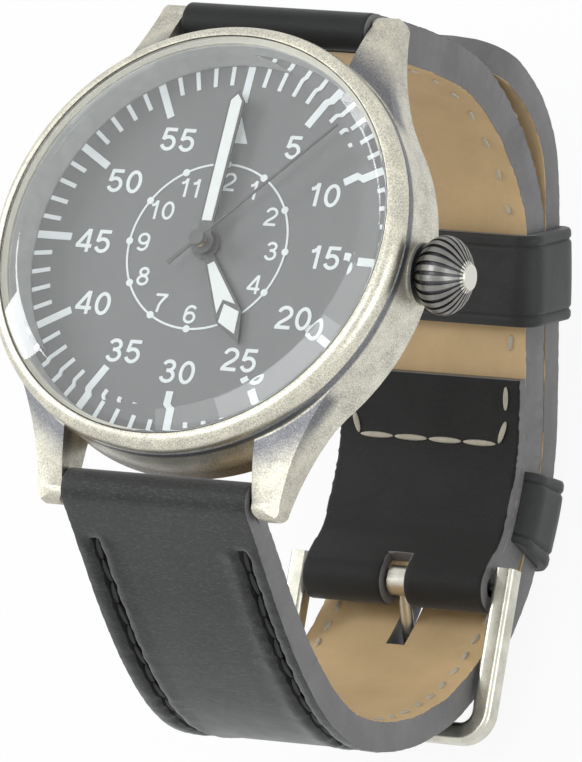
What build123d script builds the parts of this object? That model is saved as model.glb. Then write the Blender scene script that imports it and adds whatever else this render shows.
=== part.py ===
from build123d import *
import math
import os

os.makedirs("parts", exist_ok=True)

# Frame: origin at the middle of the case back's outer face, X to the crown at
# three o'clock, Y to twelve o'clock, Z out of the dial. Lengths in millimetres.

cut_overrun = 2.0

# Heights inside the case, each counted from what lies under it
back_flange_thick = 1.0
back_rim_height = 1.1
back_room = 1.3
bridge_thick = 0.4
wheel_thick = 0.2
bridge_to_seconds = 0.25
seconds_to_third = 0.4
third_to_centre = 0.5
wheel_to_plate = 0.25
plate_thick = 1.0
bearing_clearance = 0.03
motion_clearance = 0.01
wheel_to_dial = 0.06
dial_thick = 0.4
rehaut_height = 2.1
bridge_low = back_flange_thick + back_room
bridge_high = bridge_low + bridge_thick
seconds_wheel_low = bridge_high + bridge_to_seconds
third_wheel_low = seconds_wheel_low + seconds_to_third
centre_wheel_low = third_wheel_low + third_to_centre
plate_low = centre_wheel_low + wheel_thick + wheel_to_plate
plate_high = plate_low + plate_thick
cannon_low = plate_high + bearing_clearance
hour_wheel_low = cannon_low + wheel_thick + motion_clearance
dial_top = hour_wheel_low + wheel_thick + wheel_to_dial + dial_thick
stem_below_plate = 0.3

# Middle case
case_radius = 21.0
case_wall = 2.25
case_low = back_flange_thick
case_high = dial_top + rehaut_height
case_foot_chamfer = 0.75
case_top_chamfer = 0.22
case_bore = case_radius - case_wall
case_bore_high = dial_top
rehaut_step = 0.45
rehaut_bore = case_bore + rehaut_step
gasket_groove_inset = 0.2
gasket_groove_width = 0.6
gasket_groove_in = case_bore + gasket_groove_inset
gasket_groove_out = gasket_groove_in + gasket_groove_width
gasket_groove_depth = 0.5

# Lugs, and the spring bars that stand clear of the case by the leather's turn
lug_gap = 20.0
lug_tip_wide = 2.7
lug_blend_angle = 35.0
eyelet_radius = 1.85
eyelet_case_clearance = 0.55
lug_beyond_bar = 1.6
lug_shoulder_back = 6.0
lug_start_back = 9.5
lug_foot_back = 9.6
lug_tip_radius = 1.3
lug_tip_corner = 0.9
lug_tip_height = 3.6
lug_bar_rise = 0.3
lug_shoulder_drop = 1.2
lug_start_drop = 0.3
lug_foot_rise = 1.3
lug_top_along_share = 0.37
lug_top_across_share = 0.3
lug_end_margin = 0.02
lug_tip_outer = lug_gap / 2 + lug_tip_wide
lug_bar_reach = case_radius + eyelet_radius + eyelet_case_clearance
lug_bar_height = lug_tip_height + lug_bar_rise
lug_reach = lug_bar_reach + lug_beyond_bar
lug_shoulder_reach = lug_reach - lug_shoulder_back
lug_shoulder_height = case_high - lug_shoulder_drop
lug_start_reach = lug_reach - lug_start_back
lug_start_height = case_high - lug_start_drop
lug_foot_reach = lug_reach - lug_foot_back
lug_foot_height = case_low + lug_foot_rise

# Crown boss, crown and stem
crown_height = plate_low - stem_below_plate
boss_radius = 2.9
boss_stand = 0.35
crown_gap = 0.12
crown_length = 4.4
crown_radius = 3.7
crown_cap_radius = 1.2
crown_cap_rise = 0.22
crown_bore_depth = 2.0
crown_ridges = 24
crown_groove_depth = 0.32
crown_groove_share = 0.42
crown_profile_shares = (
    (0.0, 0.66), (0.10, 0.80), (0.26, 0.95), (0.44, 1.0), (0.62, 0.94),
    (0.78, 0.78), (0.90, 0.56), (1.0, 0.33))
tube_outer = 1.25
tube_wall = 0.5
tube_inset = 0.1
tube_end_clearance = 0.47
stem_radius = 0.45
stem_inner_end = 8.2
stem_in_crown = 1.13
stem_groove_along = 2.8
stem_groove_width = 0.7
stem_groove_depth = 0.15
crown_gasket_thick = 0.6
crown_gasket_width = 0.4
crown_gasket_inset = 0.15
sliding_radius = 0.9
sliding_along = 0.4
sliding_length = 1.1
setting_thick = 0.5
setting_wide = 1.6
setting_rise = 0.7
setting_drop = 0.7
pull_travel = 1.0
boss_face = case_radius + boss_stand
crown_start = boss_face + crown_gap
crown_bore_end = crown_start + crown_bore_depth
crown_bore_radius = tube_outer + crown_gasket_thick
tube_inner = tube_outer - tube_wall
tube_inside = case_bore + tube_inset
tube_outside = crown_bore_end - tube_end_clearance
stem_outer_end = crown_bore_end + stem_in_crown
stem_groove_at = stem_inner_end + stem_groove_along
stem_groove_radius = stem_radius - stem_groove_depth
sliding_start = stem_inner_end + sliding_along

# Case back and its gasket
back_flange_margin = 0.05
back_edge_round = 0.45
back_rim_clearance = 0.15
back_rim_wall = 0.7
back_flange_radius = gasket_groove_out + back_flange_margin
back_rim_outer = case_bore - back_rim_clearance
back_rim_inner = back_rim_outer - back_rim_wall

# Crystal, bezel and rehaut
bezel_stand = 0.05
bezel_wall = 1.33
bezel_seat_clearance = 0.05
bezel_top_margin = 0.13
bezel_flange_margin = 0.05
bezel_flange_thick = 0.6
bezel_above_edge = 0.05
bezel_fall = 1.5
bezel_shoulder_out_share = 0.76
bezel_shoulder_up_share = 0.67
crystal_edge = 1.3
crystal_rise = 0.85
crystal_bevel_width = 2.2
crystal_gasket_thick = 0.2
crystal_gasket_width = 0.72
rehaut_clearance = 0.1
rehaut_low_wall = 1.05
rehaut_high_wall = 0.35
rehaut_foot = 0.25
bezel_radius = case_radius + bezel_stand
crystal_radius = bezel_radius - bezel_wall
crystal_low = case_high + bezel_flange_thick + crystal_gasket_thick
crystal_edge_high = crystal_low + crystal_edge
crystal_high = crystal_edge_high + crystal_rise
crystal_gasket_inner = crystal_radius - crystal_gasket_width
bezel_flange_inner = crystal_gasket_inner - bezel_flange_margin
bezel_high = crystal_edge_high + bezel_above_edge
bezel_side_high = bezel_high - bezel_fall
bezel_top_inner = crystal_radius + bezel_top_margin
rehaut_outer = rehaut_bore - rehaut_clearance
rehaut_low_inner = rehaut_outer - rehaut_low_wall
rehaut_high_inner = rehaut_outer - rehaut_high_wall

# Dial and its track
dial_clearance = 0.15
track_thick = 0.06
track_clearance = 0.05
hour_tick_length = 3.6
minute_tick_length = 1.88
hour_tick_width = 0.74
minute_tick_width = 0.42
triangle_gap = 1.1
triangle_length = 2.95
triangle_half = 1.45
hour_ring_radius = 8.2
hour_ring_width = 0.2
hour_dot_radius = 0.36
dial_radius = case_bore - dial_clearance
tick_outer = rehaut_low_inner - track_clearance
hour_tick_inner = tick_outer - hour_tick_length
minute_tick_inner = tick_outer - minute_tick_length
triangle_apex = hour_tick_inner - triangle_gap
triangle_base = triangle_apex - triangle_length

# Hands, set near five o'clock as in the photograph
minute_angle = -0.3
hour_angle = 147.8
second_angle = 43.4
dial_to_hour_hand = 0.32
hand_thick = 0.16
hand_lume_thick = 0.08
hand_gap = 0.5
second_hand_gap = 0.7
hour_hand_low = dial_top + dial_to_hour_hand
minute_hand_low = hour_hand_low + hand_thick + hand_lume_thick + hand_gap
second_hand_low = minute_hand_low + hand_thick + hand_lume_thick + second_hand_gap
cannon_tube_radius = 0.5
hour_tube_clearance = 0.06
hour_tube_wall = 0.29
dial_hole_clearance = 0.3
hour_tube_inner = cannon_tube_radius + hour_tube_clearance
hour_tube_radius = hour_tube_inner + hour_tube_wall
dial_centre_hole = hour_tube_radius + dial_hole_clearance
hour_hand_length = 11.2
hour_hand_point = 3.05
hour_hand_half = 1.32
hour_hand_root_half = 0.32
minute_hand_short = 2.8
minute_hand_point = 1.1
minute_hand_half = 0.8
minute_hand_root_half = 0.72
hour_hub_wall = 0.55
minute_hub_wall = 0.65
hand_frame = 0.22
lume_root = 2.1
hour_lume_frame = 1.13
hour_lume_split = 0.92
hour_lume_notch = 1.45
hour_lume_bar = 0.48
second_hand_short = 1.3
second_tail_length = 3.6
second_hand_half = 0.11
second_tail_half = 0.2
second_hub_radius = 0.75
second_hub_thick = 0.45
hour_hand_widest = hour_hand_length - hour_hand_point
minute_hand_length = tick_outer - minute_hand_short
minute_hand_widest = minute_hand_length - minute_hand_point
second_hand_length = tick_outer - second_hand_short
hand_hub_radius = hour_tube_radius + hour_hub_wall
minute_hub_radius = cannon_tube_radius + minute_hub_wall

# Movement
ring_clearance = 0.2
plate_radius = 13.0
plate_clearance = 0.1
ring_lip = 0.5
board_margin = 0.6
board_wide = 4.4
ring_outer = case_bore - ring_clearance
ring_inner = plate_radius + plate_clearance
ring_low = back_flange_thick + back_rim_height
ring_lip_inner = plate_radius - ring_lip
bridge_wide = 7.2
bridge_long = 15.2
bridge_x = 1.4
bridge_y = 0.3
bridge_corner = 1.2
pillar_radius = 0.6
pillar_places = ((-1.2, -6.3), (4.4, 0.3), (-1.2, 6.9), (4.0, 6.9))
board_outer = plate_radius - board_margin
board_inner = board_outer - board_wide
board_thick = 0.25
board_start = 95.0
board_sweep = 72.0
chip_size = 2.2
chip_thick = 0.6
battery_radius = 3.95
battery_height = 1.9
battery_edge = 0.35
battery_x = -6.6
battery_y = -5.2
clamp_thick = 0.2
clamp_wide = 1.6
clamp_gap = 0.35
coil_radius = 0.85
coil_core = 0.4
coil_margin = 0.4
coil_in_from_end = 0.6
stator_above_bridge = 0.05
stator_thick = 0.5
stator_left = 0.9
stator_neck = 3.5
stator_leg = 1.1
stator_arm_long = 4.7
stator_bottom = -9.2
stator_top = -1.6
stator_arm = 1.0
stator_pole_low = -6.5
stator_pole_high = -3.95
stator_clearance = 0.15
screw_head = 0.8
screw_head_high = 0.35
screw_shank = 0.3
clamp_reach = battery_radius + clamp_thick + clamp_gap
stator_low = bridge_high + stator_above_bridge
stator_right = stator_neck + stator_arm_long
coil_x = stator_right - coil_in_from_end
coil_z = stator_low + stator_thick / 2

# Gear train: teeth, module and places
tooth_addendum_share = 0.7
tooth_dedendum_share = 1.1
tooth_root_share = 0.28
tooth_tip_share = 0.12
pinion_thick_share = 1.4
arbor_radius = 0.15
rotor_teeth = 8
step_wheel_teeth = 32
step_pinion_teeth = 8
seconds_wheel_teeth = 60
seconds_pinion_teeth = 8
third_wheel_teeth = 60
third_pinion_teeth = 8
centre_wheel_teeth = 64
cannon_teeth = 12
minute_wheel_teeth = 36
minute_pinion_teeth = 10
hour_wheel_teeth = 40
magnet_radius = 0.6
magnet_height = 0.4
step_reach = 3.6
third_reach = 3.6
motion_reach = 2.6
rotor_reach = 2.0
third_bearing = 70.0
step_bearing = -60.0
rotor_bearing = -80.0
minute_wheel_bearing = 155.0

# Leather strap, seen from the side: the outer face of each half runs
# through these points (along Y, up Z)
strap_side_clearance = 0.3
strap_half_width = lug_gap / 2 - strap_side_clearance
strap_12_thick = 3.7
strap_12_outer_ply = 1.9
strap_12_lining_ply = 1.3
strap_6_thick = 2.8
strap_6_outer_ply = 1.5
strap_6_lining_ply = 1.1
flap_thick = 1.2
tail_gap = 0.22
strap_12_run = (
    (26.8, -1.5), (28.3, -7.5), (29.5, -13.6), (29.7, -19.2), (28.5, -24.8), (26.2, -30.6),
    (22.5, -36.1), (8.6, -43.7), (0.3, -47.9), (-9.6, -48.5), (-14.6, -46.3))
strap_6_run = (
    (-28.2, -1.0), (-31.4, -6.6), (-34.2, -12.6), (-36.2, -18.8), (-36.7, -24.7),
    (-35.2, -30.7), (-32.6, -36.5), (-28.3, -42.4), (-24.6, -45.6), (-20.8, -48.2),
    (-15.6, -50.4))
run_keeper_start = 7
run_fold = 8
run_keeper_fixed = 9
run_fixed_end = 10
tail_tip_run = ((28.6, -35.6), (31.4, -31.2), (32.6, -26.0), (32.8, -19.2))
tail_corner = 4.5
tail_cut_depth = 6.0
bend_share = 0.45
ply_trim_spare = 4.6
ply_trim_across = 2 * strap_half_width + ply_trim_spare
ply_trim_length = 12.0
lining_end_clearance = 0.25
flap_clear = 0.2
strap_hole_radius = 0.9
strap_hole_shares = (0.2, 0.65)
strap_hole_run = 14
tongue_slot_half = 0.95
tongue_slot_near = -14.2
tongue_slot_far = -21.2
tongue_slot_top = -44.0
tongue_slot_bottom = -55.0
fold_slot_half = 1.3
fold_slot_extra = 0.15

# Keepers
keeper_wall = 1.2
keeper_inner_wall = 1.1
keeper_clearance = 0.2
keeper_corner = 0.9
free_keeper_start = 2.3
free_keeper_width = 8.8
fixed_keeper_start = 0.9
fixed_keeper_width = 7.8

# Spring bars
bar_radius = 0.85
bar_wall = 0.22
bar_end_gap = 0.9
bar_lip = 0.3
tip_radius = 0.42
tip_clearance = 0.05
tip_shoulder_radius = 0.58
tip_shoulder_in = 1.5
tip_shoulder_wide = 0.5
tip_in_lug = 0.75
tip_travel = 0.8
bar_spring_inner = 0.3
pin_hole_spare = 0.4
bar_half = lug_gap / 2 - bar_end_gap
tip_end = lug_gap / 2 + tip_in_lug
tip_shoulder_at = bar_half - tip_shoulder_in
bar_spring_half = tip_shoulder_at - tip_travel - tip_clearance
pin_hole_depth = tip_in_lug + pin_hole_spare

# Buckle
frame_clearance = 0.35
frame_arm_wide = 2.1
frame_inner_half = strap_half_width + frame_clearance
frame_outer_half = frame_inner_half + frame_arm_wide
frame_thick = 2.2
frame_front_y = -27.7
frame_front_z = -46.3
frame_end_round = 1.9
frame_corner = 2.2
frame_edge_round = 0.6
tongue_radius = 0.62
tongue_eye_outer = 1.5
tongue_eye_half = 1.0
tongue_knee_y = -19.6
tongue_knee_z = -49.5
tongue_knee_radius = 2.4
tongue_seat_gap = 0.24
tongue_overhang = 0.9


def on_circle(radius, degrees):
    """Point at a radius and an angle from X, as (x, y)."""
    turn = math.radians(degrees)
    return (radius * math.cos(turn), radius * math.sin(turn))


def moved(point, step):
    return (point[0] + step[0], point[1] + step[1])


def disc(radius, low, high, hole=0):
    """A round plate or tube about Z, as a part of its own."""
    with BuildPart() as plate:
        with BuildSketch(Plane.XY.offset(low)):
            Circle(radius)
            if hole:
                Circle(hole, mode=Mode.SUBTRACT)
        extrude(amount=high - low)
    return plate.part


def along_x(radius, start, end, height=0, y=0, hole=0):
    """A round rod or tube along X, as a part of its own."""
    with BuildPart() as rod:
        with BuildSketch(Plane(origin=(start, y, height), x_dir=(0, 1, 0), z_dir=(1, 0, 0))):
            Circle(radius)
            if hole:
                Circle(hole, mode=Mode.SUBTRACT)
        extrude(amount=end - start)
    return rod.part


def slab(x_size, y_size, low, high, x=0, y=0):
    """A block standing from one height to another, as a part of its own."""
    with BuildPart() as block:
        with BuildSketch(Plane.XY.offset(low)):
            with Locations((x, y)):
                Rectangle(x_size, y_size)
        extrude(amount=high - low)
    return block.part


def turned(points):
    """A solid of revolution about Z from (radius, height) points."""
    with BuildPart() as body:
        with BuildSketch(Plane.XZ):
            with BuildLine():
                Polyline(*points, close=True)
            make_face()
        revolve(axis=Axis.Z)
    return body.part


# Middle case

foot_ring = case_radius - case_foot_chamfer
case_profile = [
    (case_bore, case_low), (gasket_groove_in, case_low),
    (gasket_groove_in, case_low + gasket_groove_depth),
    (gasket_groove_out, case_low + gasket_groove_depth), (gasket_groove_out, case_low),
    (foot_ring, case_low), (case_radius, case_low + case_foot_chamfer),
    (case_radius, case_high - case_top_chamfer), (case_radius - case_top_chamfer, case_high),
    (rehaut_bore, case_high), (rehaut_bore, case_bore_high), (case_bore, case_bore_high)]
bar_centre_12 = (lug_bar_reach, lug_bar_height)
bar_centre_6 = (-lug_bar_reach, lug_bar_height)
tip_hole = tip_radius + tip_clearance

blend_x, blend_y = on_circle(case_radius, lug_blend_angle)
with BuildPart() as case_body:
    with BuildSketch(Plane.YZ.offset(-case_radius)):
        for side in (1, -1):
            with BuildLine():
                tip_top = (side * (lug_reach - lug_tip_radius), lug_tip_height + lug_tip_radius)
                tip_out = (side * lug_reach, lug_tip_height)
                tip_low = (side * (lug_reach - lug_tip_radius), lug_tip_height - lug_tip_radius)
                shoulder = (side * lug_shoulder_reach, lug_shoulder_height)
                start = (side * lug_start_reach, lug_start_height)
                foot = (side * lug_foot_reach, lug_foot_height)
                root = (side * blend_y, case_low + case_foot_chamfer)
                ThreePointArc(start, shoulder, tip_top)
                ThreePointArc(tip_top, tip_out, tip_low)
                Polyline(tip_low, foot, root, (side * blend_y, lug_start_height), start)
            make_face()
    extrude(amount=2 * case_radius)
    with BuildSketch(Plane.XY.offset(-cut_overrun)) as lug_plan:
        for side in (1, -1):
            for end in (1, -1):
                tip = (side * lug_tip_outer, end * (lug_reach - lug_tip_radius))
                blend = (side * blend_x, end * blend_y)
                with BuildLine():
                    TangentArc(blend, tip, tangent=(-side * blend_y, end * blend_x))
                    Polyline(tip, (side * lug_tip_outer, end * (lug_reach + lug_end_margin)),
                             (side * lug_gap / 2, end * (lug_reach + lug_end_margin)),
                             (side * lug_gap / 2, end * blend_y), blend)
                make_face()
        fillet([corner for corner in lug_plan.vertices() if abs(corner.Y) > lug_reach],
               lug_tip_corner)
    extrude(amount=case_high + 2 * cut_overrun, mode=Mode.INTERSECT)
    for side in (1, -1):
        for end in (1, -1):
            sloped = Plane(origin=(side * lug_gap / 2, end * lug_shoulder_reach,
                                   lug_shoulder_height),
                           z_dir=(side * lug_top_across_share, end * lug_top_along_share, 1))
            with BuildSketch(sloped):
                Rectangle(lug_reach, lug_reach)
            extrude(amount=lug_reach / 4, mode=Mode.SUBTRACT)
    add(turned(case_profile))
    add(along_x(boss_radius, case_bore + case_top_chamfer, boss_face, crown_height))
    add(along_x(tube_outer, tube_inside - cut_overrun, boss_face + cut_overrun, crown_height),
        mode=Mode.SUBTRACT)
    add(disc(case_bore, case_low, case_bore_high), mode=Mode.SUBTRACT)
    add(disc(rehaut_bore, case_bore_high, case_high + cut_overrun), mode=Mode.SUBTRACT)
    add(disc(gasket_groove_out, case_low, case_low + gasket_groove_depth,
             hole=gasket_groove_in), mode=Mode.SUBTRACT)
    for side in (1, -1):
        hole_start = side * (lug_gap / 2 + pin_hole_depth)
        for reach in (lug_bar_reach, -lug_bar_reach):
            add(along_x(tip_hole, hole_start, side * lug_gap / 4, lug_bar_height, reach),
                mode=Mode.SUBTRACT)
case_body.part.label = "case_body"
export_step(case_body.part, "parts/case_body.step")

with BuildPart() as crown_tube:
    add(along_x(tube_outer, tube_inside, tube_outside, crown_height, hole=tube_inner))
crown_tube.part.label = "crown_tube"
export_step(crown_tube.part, "parts/crown_tube.step")

with BuildPart() as case_back:
    add(disc(back_flange_radius, 0, back_flange_thick))
    chamfer(case_back.edges().sort_by(Axis.Z)[0], back_edge_round)
    add(disc(back_rim_outer, back_flange_thick, back_flange_thick + back_rim_height,
             hole=back_rim_inner))
case_back.part.label = "case_back"
export_step(case_back.part, "parts/case_back.step")

with BuildPart() as case_back_gasket:
    add(disc(gasket_groove_out, case_low, case_low + gasket_groove_depth,
             hole=gasket_groove_in))
case_back_gasket.part.label = "case_back_gasket"
export_step(case_back_gasket.part, "parts/case_back_gasket.step")

# Rehaut, bezel and crystal

with BuildPart() as rehaut_ring:
    add(turned([
        (rehaut_low_inner, dial_top), (rehaut_outer, dial_top), (rehaut_outer, case_high),
        (rehaut_high_inner, case_high), (rehaut_low_inner, dial_top + rehaut_foot)]))
rehaut_ring.part.label = "rehaut_ring"
export_step(rehaut_ring.part, "parts/rehaut_ring.step")

seat_radius = crystal_radius + bezel_seat_clearance
flange_high = case_high + bezel_flange_thick
with BuildPart() as bezel:
    with BuildSketch(Plane.XZ):
        with BuildLine():
            side_top = (bezel_radius, bezel_side_high)
            crest = (bezel_top_inner, bezel_high)
            fall = bezel_high - bezel_side_high
            spread = bezel_radius - bezel_top_inner
            shoulder = (bezel_top_inner + bezel_shoulder_out_share * spread,
                        bezel_side_high + bezel_shoulder_up_share * fall)
            Polyline(crest, (seat_radius, bezel_high), (seat_radius, flange_high),
                     (bezel_flange_inner, flange_high), (bezel_flange_inner, case_high),
                     (bezel_radius, case_high), side_top)
            ThreePointArc(side_top, shoulder, crest)
        make_face()
    revolve(axis=Axis.Z)
bezel.part.label = "bezel"
export_step(bezel.part, "parts/bezel.step")

with BuildPart() as crystal_gasket:
    add(disc(crystal_radius, flange_high, flange_high + crystal_gasket_thick,
             hole=crystal_gasket_inner))
crystal_gasket.part.label = "crystal_gasket"
export_step(crystal_gasket.part, "parts/crystal_gasket.step")

with BuildPart() as crystal:
    flat_radius = crystal_radius - crystal_bevel_width
    add(turned([
        (0, crystal_low), (crystal_radius, crystal_low), (crystal_radius, crystal_edge_high),
        (flat_radius, crystal_high), (0, crystal_high)]))
crystal.part.label = "crystal"
export_step(crystal.part, "parts/crystal.step")

# Dial and the printed track, as thin raised marks

with BuildPart() as dial:
    add(disc(dial_radius, dial_top - dial_thick, dial_top, hole=dial_centre_hole))
dial.part.label = "dial"
export_step(dial.part, "parts/dial.step")

minutes_round = 60
minutes_per_hour_mark = 5
minute_step = 360 / minutes_round
with BuildPart() as dial_track:
    with BuildSketch(Plane.XY.offset(dial_top)):
        for minute in range(minutes_round):
            long_mark = minute % minutes_per_hour_mark == 0
            inner = hour_tick_inner if long_mark else minute_tick_inner
            width = hour_tick_width if long_mark else minute_tick_width
            with PolarLocations((inner + tick_outer) / 2, 1, start_angle=minute * minute_step):
                Rectangle(tick_outer - inner, width)
        with BuildLine():
            Polyline((-triangle_half, triangle_base), (triangle_half, triangle_base),
                     (0, triangle_apex), close=True)
        make_face()
        Circle(hour_ring_radius + hour_ring_width / 2)
        Circle(hour_ring_radius - hour_ring_width / 2, mode=Mode.SUBTRACT)
        with PolarLocations(hour_ring_radius, minutes_round // minutes_per_hour_mark):
            Circle(hour_dot_radius)
    extrude(amount=track_thick)
dial_track.part.label = "dial_track"
export_step(dial_track.part, "parts/dial_track.step")

# Hands


def clock_plane(height, degrees):
    """Plane at a height whose Y points along a hand at a clock angle."""
    turn = math.radians(degrees)
    return Plane(origin=(0, 0, height), x_dir=(math.cos(turn), -math.sin(turn), 0),
                 z_dir=(0, 0, 1))


def sword(root, widest, tip, root_half, widest_half):
    """Outline of a sword shaped hand, narrow at the root."""
    return [(-root_half, root), (-widest_half, widest), (0, tip), (widest_half, widest),
            (root_half, root)]


def sword_hand(height, degrees, hub, hole, outline):
    with BuildPart() as hand:
        with BuildSketch(clock_plane(height, degrees)):
            Circle(hub)
            with BuildLine():
                Polyline(*outline, close=True)
            make_face()
            Circle(hole, mode=Mode.SUBTRACT)
        extrude(amount=hand_thick)
    return hand.part


def lume(height, degrees, outlines):
    with BuildPart() as paint:
        with BuildSketch(clock_plane(height, degrees)):
            for outline in outlines:
                with BuildLine():
                    Polyline(*outline, close=True)
                make_face()
        extrude(amount=hand_lume_thick)
    return paint.part


hour_tube_high = hour_hand_low + hand_thick
with BuildPart() as hour_hand:
    add(sword_hand(hour_hand_low, hour_angle, hand_hub_radius, hour_tube_radius,
                   sword(0, hour_hand_widest, hour_hand_length, hour_hand_root_half,
                         hour_hand_half)))
hour_hand.part.label = "hour_hand"
export_step(hour_hand.part, "parts/hour_hand.step")

lume_tip = hour_hand_length - hour_lume_frame
lume_split = hour_hand_widest - hour_lume_split
lume_apex = hour_hand_widest - hour_lume_notch
lume_notch = lume_apex - hour_lume_bar
slope = (hour_hand_half - hour_hand_root_half) / hour_hand_widest


def hour_half_at(reach):
    return hour_hand_root_half + slope * reach - hand_frame


with BuildPart() as hour_lume:
    add(lume(hour_tube_high, hour_angle, [
        [(-hour_half_at(lume_root), lume_root), (-hour_half_at(lume_split), lume_split),
         (0, lume_notch), (hour_half_at(lume_split), lume_split),
         (hour_half_at(lume_root), lume_root)],
        [(0, lume_apex), (-hour_half_at(hour_hand_widest), hour_hand_widest), (0, lume_tip),
         (hour_half_at(hour_hand_widest), hour_hand_widest)]]))
hour_lume.part.label = "hour_lume"
export_step(hour_lume.part, "parts/hour_lume.step")

with BuildPart() as minute_hand:
    add(sword_hand(minute_hand_low, minute_angle, minute_hub_radius, cannon_tube_radius,
                   sword(0, minute_hand_widest, minute_hand_length, minute_hand_root_half,
                         minute_hand_half)))
minute_hand.part.label = "minute_hand"
export_step(minute_hand.part, "parts/minute_hand.step")

minute_slope = (minute_hand_half - minute_hand_root_half) / minute_hand_widest
minute_root_lume = minute_hand_root_half + minute_slope * lume_root - hand_frame
with BuildPart() as minute_lume:
    add(lume(minute_hand_low + hand_thick, minute_angle, [
        sword(lume_root, minute_hand_widest, minute_hand_length - 2 * hand_frame,
              minute_root_lume, minute_hand_half - hand_frame)]))
minute_lume.part.label = "minute_lume"
export_step(minute_lume.part, "parts/minute_lume.step")

with BuildPart() as second_hand:
    with BuildSketch(clock_plane(second_hand_low, second_angle)):
        with BuildLine():
            Polyline((-second_tail_half, -second_tail_length), (second_tail_half, -second_tail_length),
                     (second_hand_half, 0), (second_hand_half, second_hand_length),
                     (-second_hand_half, second_hand_length), (-second_hand_half, 0), close=True)
        make_face()
    extrude(amount=hand_thick)
    with BuildSketch(Plane.XY.offset(second_hand_low)):
        Circle(second_hub_radius)
    extrude(amount=second_hub_thick)
    add(disc(arbor_radius, second_hand_low - hand_thick, second_hand_low + second_hub_thick / 2),
        mode=Mode.SUBTRACT)
second_hand.part.label = "second_hand"
export_step(second_hand.part, "parts/second_hand.step")

# Gear train


def gear(teeth, module, low, thick, phase, centre=(0, 0), hole=0):
    """A spur wheel with straight sided teeth; one tooth is centred on phase."""
    pitch = 360 / teeth
    root = module * (teeth / 2 - tooth_dedendum_share)
    tip = module * (teeth / 2 + tooth_addendum_share)
    points = []
    for tooth in range(teeth):
        middle = phase + tooth * pitch
        for radius, share in ((root, -tooth_root_share), (tip, -tooth_tip_share),
                              (tip, tooth_tip_share), (root, tooth_root_share)):
            points.append(moved(centre, on_circle(radius, middle + share * pitch)))
    with BuildPart() as wheel:
        with BuildSketch(Plane.XY.offset(low)):
            with BuildLine():
                Polyline(*points, close=True)
            make_face()
            if hole:
                with Locations(centre):
                    Circle(hole, mode=Mode.SUBTRACT)
        extrude(amount=thick)
    return wheel.part


def post(centre, radius, low, high):
    """A round arbor, pillar or screw standing at a place on the plate."""
    with BuildPart() as rod:
        with BuildSketch(Plane.XY.offset(low)):
            with Locations(centre):
                Circle(radius)
        extrude(amount=high - low)
    return rod.part


step_place = on_circle(step_reach, step_bearing)
third_place = on_circle(third_reach, third_bearing)
motion_place = on_circle(motion_reach, minute_wheel_bearing)
rotor_place = moved(step_place, on_circle(rotor_reach, rotor_bearing))
step_module = 2 * step_reach / (step_pinion_teeth + seconds_wheel_teeth)
rotor_module = 2 * rotor_reach / (rotor_teeth + step_wheel_teeth)
third_module = 2 * third_reach / (seconds_pinion_teeth + third_wheel_teeth)
centre_module = 2 * third_reach / (third_pinion_teeth + centre_wheel_teeth)
cannon_module = 2 * motion_reach / (cannon_teeth + minute_wheel_teeth)
hour_module = 2 * motion_reach / (minute_pinion_teeth + hour_wheel_teeth)
half_turn = 180


def facing(bearing, teeth):
    """Phase of a wheel whose gap faces back along a bearing."""
    return bearing + half_turn + half_turn / teeth


pinion_thick = pinion_thick_share * wheel_thick
pinion_drop = (pinion_thick - wheel_thick) / 2
arbor_low = bridge_low
arbor_high = plate_low + (plate_high - plate_low) / 2

with BuildPart() as seconds_wheel:
    add(gear(seconds_wheel_teeth, step_module, seconds_wheel_low, wheel_thick, step_bearing))
    add(gear(seconds_pinion_teeth, third_module, third_wheel_low - pinion_drop, pinion_thick,
             third_bearing))
    add(disc(arbor_radius, arbor_low, second_hand_low + second_hub_thick / 2))
seconds_wheel.part.label = "seconds_wheel"
export_step(seconds_wheel.part, "parts/seconds_wheel.step")

with BuildPart() as third_wheel:
    add(gear(third_wheel_teeth, third_module, third_wheel_low, wheel_thick,
             facing(third_bearing, third_wheel_teeth), third_place))
    add(gear(third_pinion_teeth, centre_module, centre_wheel_low - pinion_drop, pinion_thick,
             third_bearing + half_turn, third_place))
    add(post(third_place, arbor_radius, arbor_low, arbor_high))
third_wheel.part.label = "third_wheel"
export_step(third_wheel.part, "parts/third_wheel.step")

cannon_inner = arbor_radius + bearing_clearance
with BuildPart() as centre_wheel:
    add(gear(centre_wheel_teeth, centre_module, centre_wheel_low, wheel_thick,
             third_bearing + half_turn / centre_wheel_teeth))
    add(disc(cannon_tube_radius, centre_wheel_low, minute_hand_low + hand_thick))
    add(gear(cannon_teeth, cannon_module, cannon_low, wheel_thick - bearing_clearance,
             minute_wheel_bearing))
    add(disc(cannon_inner, centre_wheel_low - cut_overrun, second_hand_low), mode=Mode.SUBTRACT)
centre_wheel.part.label = "centre_wheel"
export_step(centre_wheel.part, "parts/centre_wheel.step")

with BuildPart() as minute_wheel:
    add(gear(minute_wheel_teeth, cannon_module, cannon_low, wheel_thick - bearing_clearance,
             facing(minute_wheel_bearing, minute_wheel_teeth), motion_place))
    add(gear(minute_pinion_teeth, hour_module, cannon_low + wheel_thick - 2 * bearing_clearance,
             wheel_thick + bearing_clearance, minute_wheel_bearing + half_turn, motion_place))
    add(post(motion_place, arbor_radius, arbor_high, plate_high + wheel_thick))
minute_wheel.part.label = "minute_wheel"
export_step(minute_wheel.part, "parts/minute_wheel.step")

with BuildPart() as hour_wheel:
    add(gear(hour_wheel_teeth, hour_module, hour_wheel_low, wheel_thick - bearing_clearance,
             minute_wheel_bearing + half_turn / hour_wheel_teeth))
    add(disc(hour_tube_radius, hour_wheel_low, hour_tube_high))
    add(disc(hour_tube_inner, hour_wheel_low - cut_overrun, hour_tube_high + cut_overrun),
        mode=Mode.SUBTRACT)
hour_wheel.part.label = "hour_wheel"
export_step(hour_wheel.part, "parts/hour_wheel.step")

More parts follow.
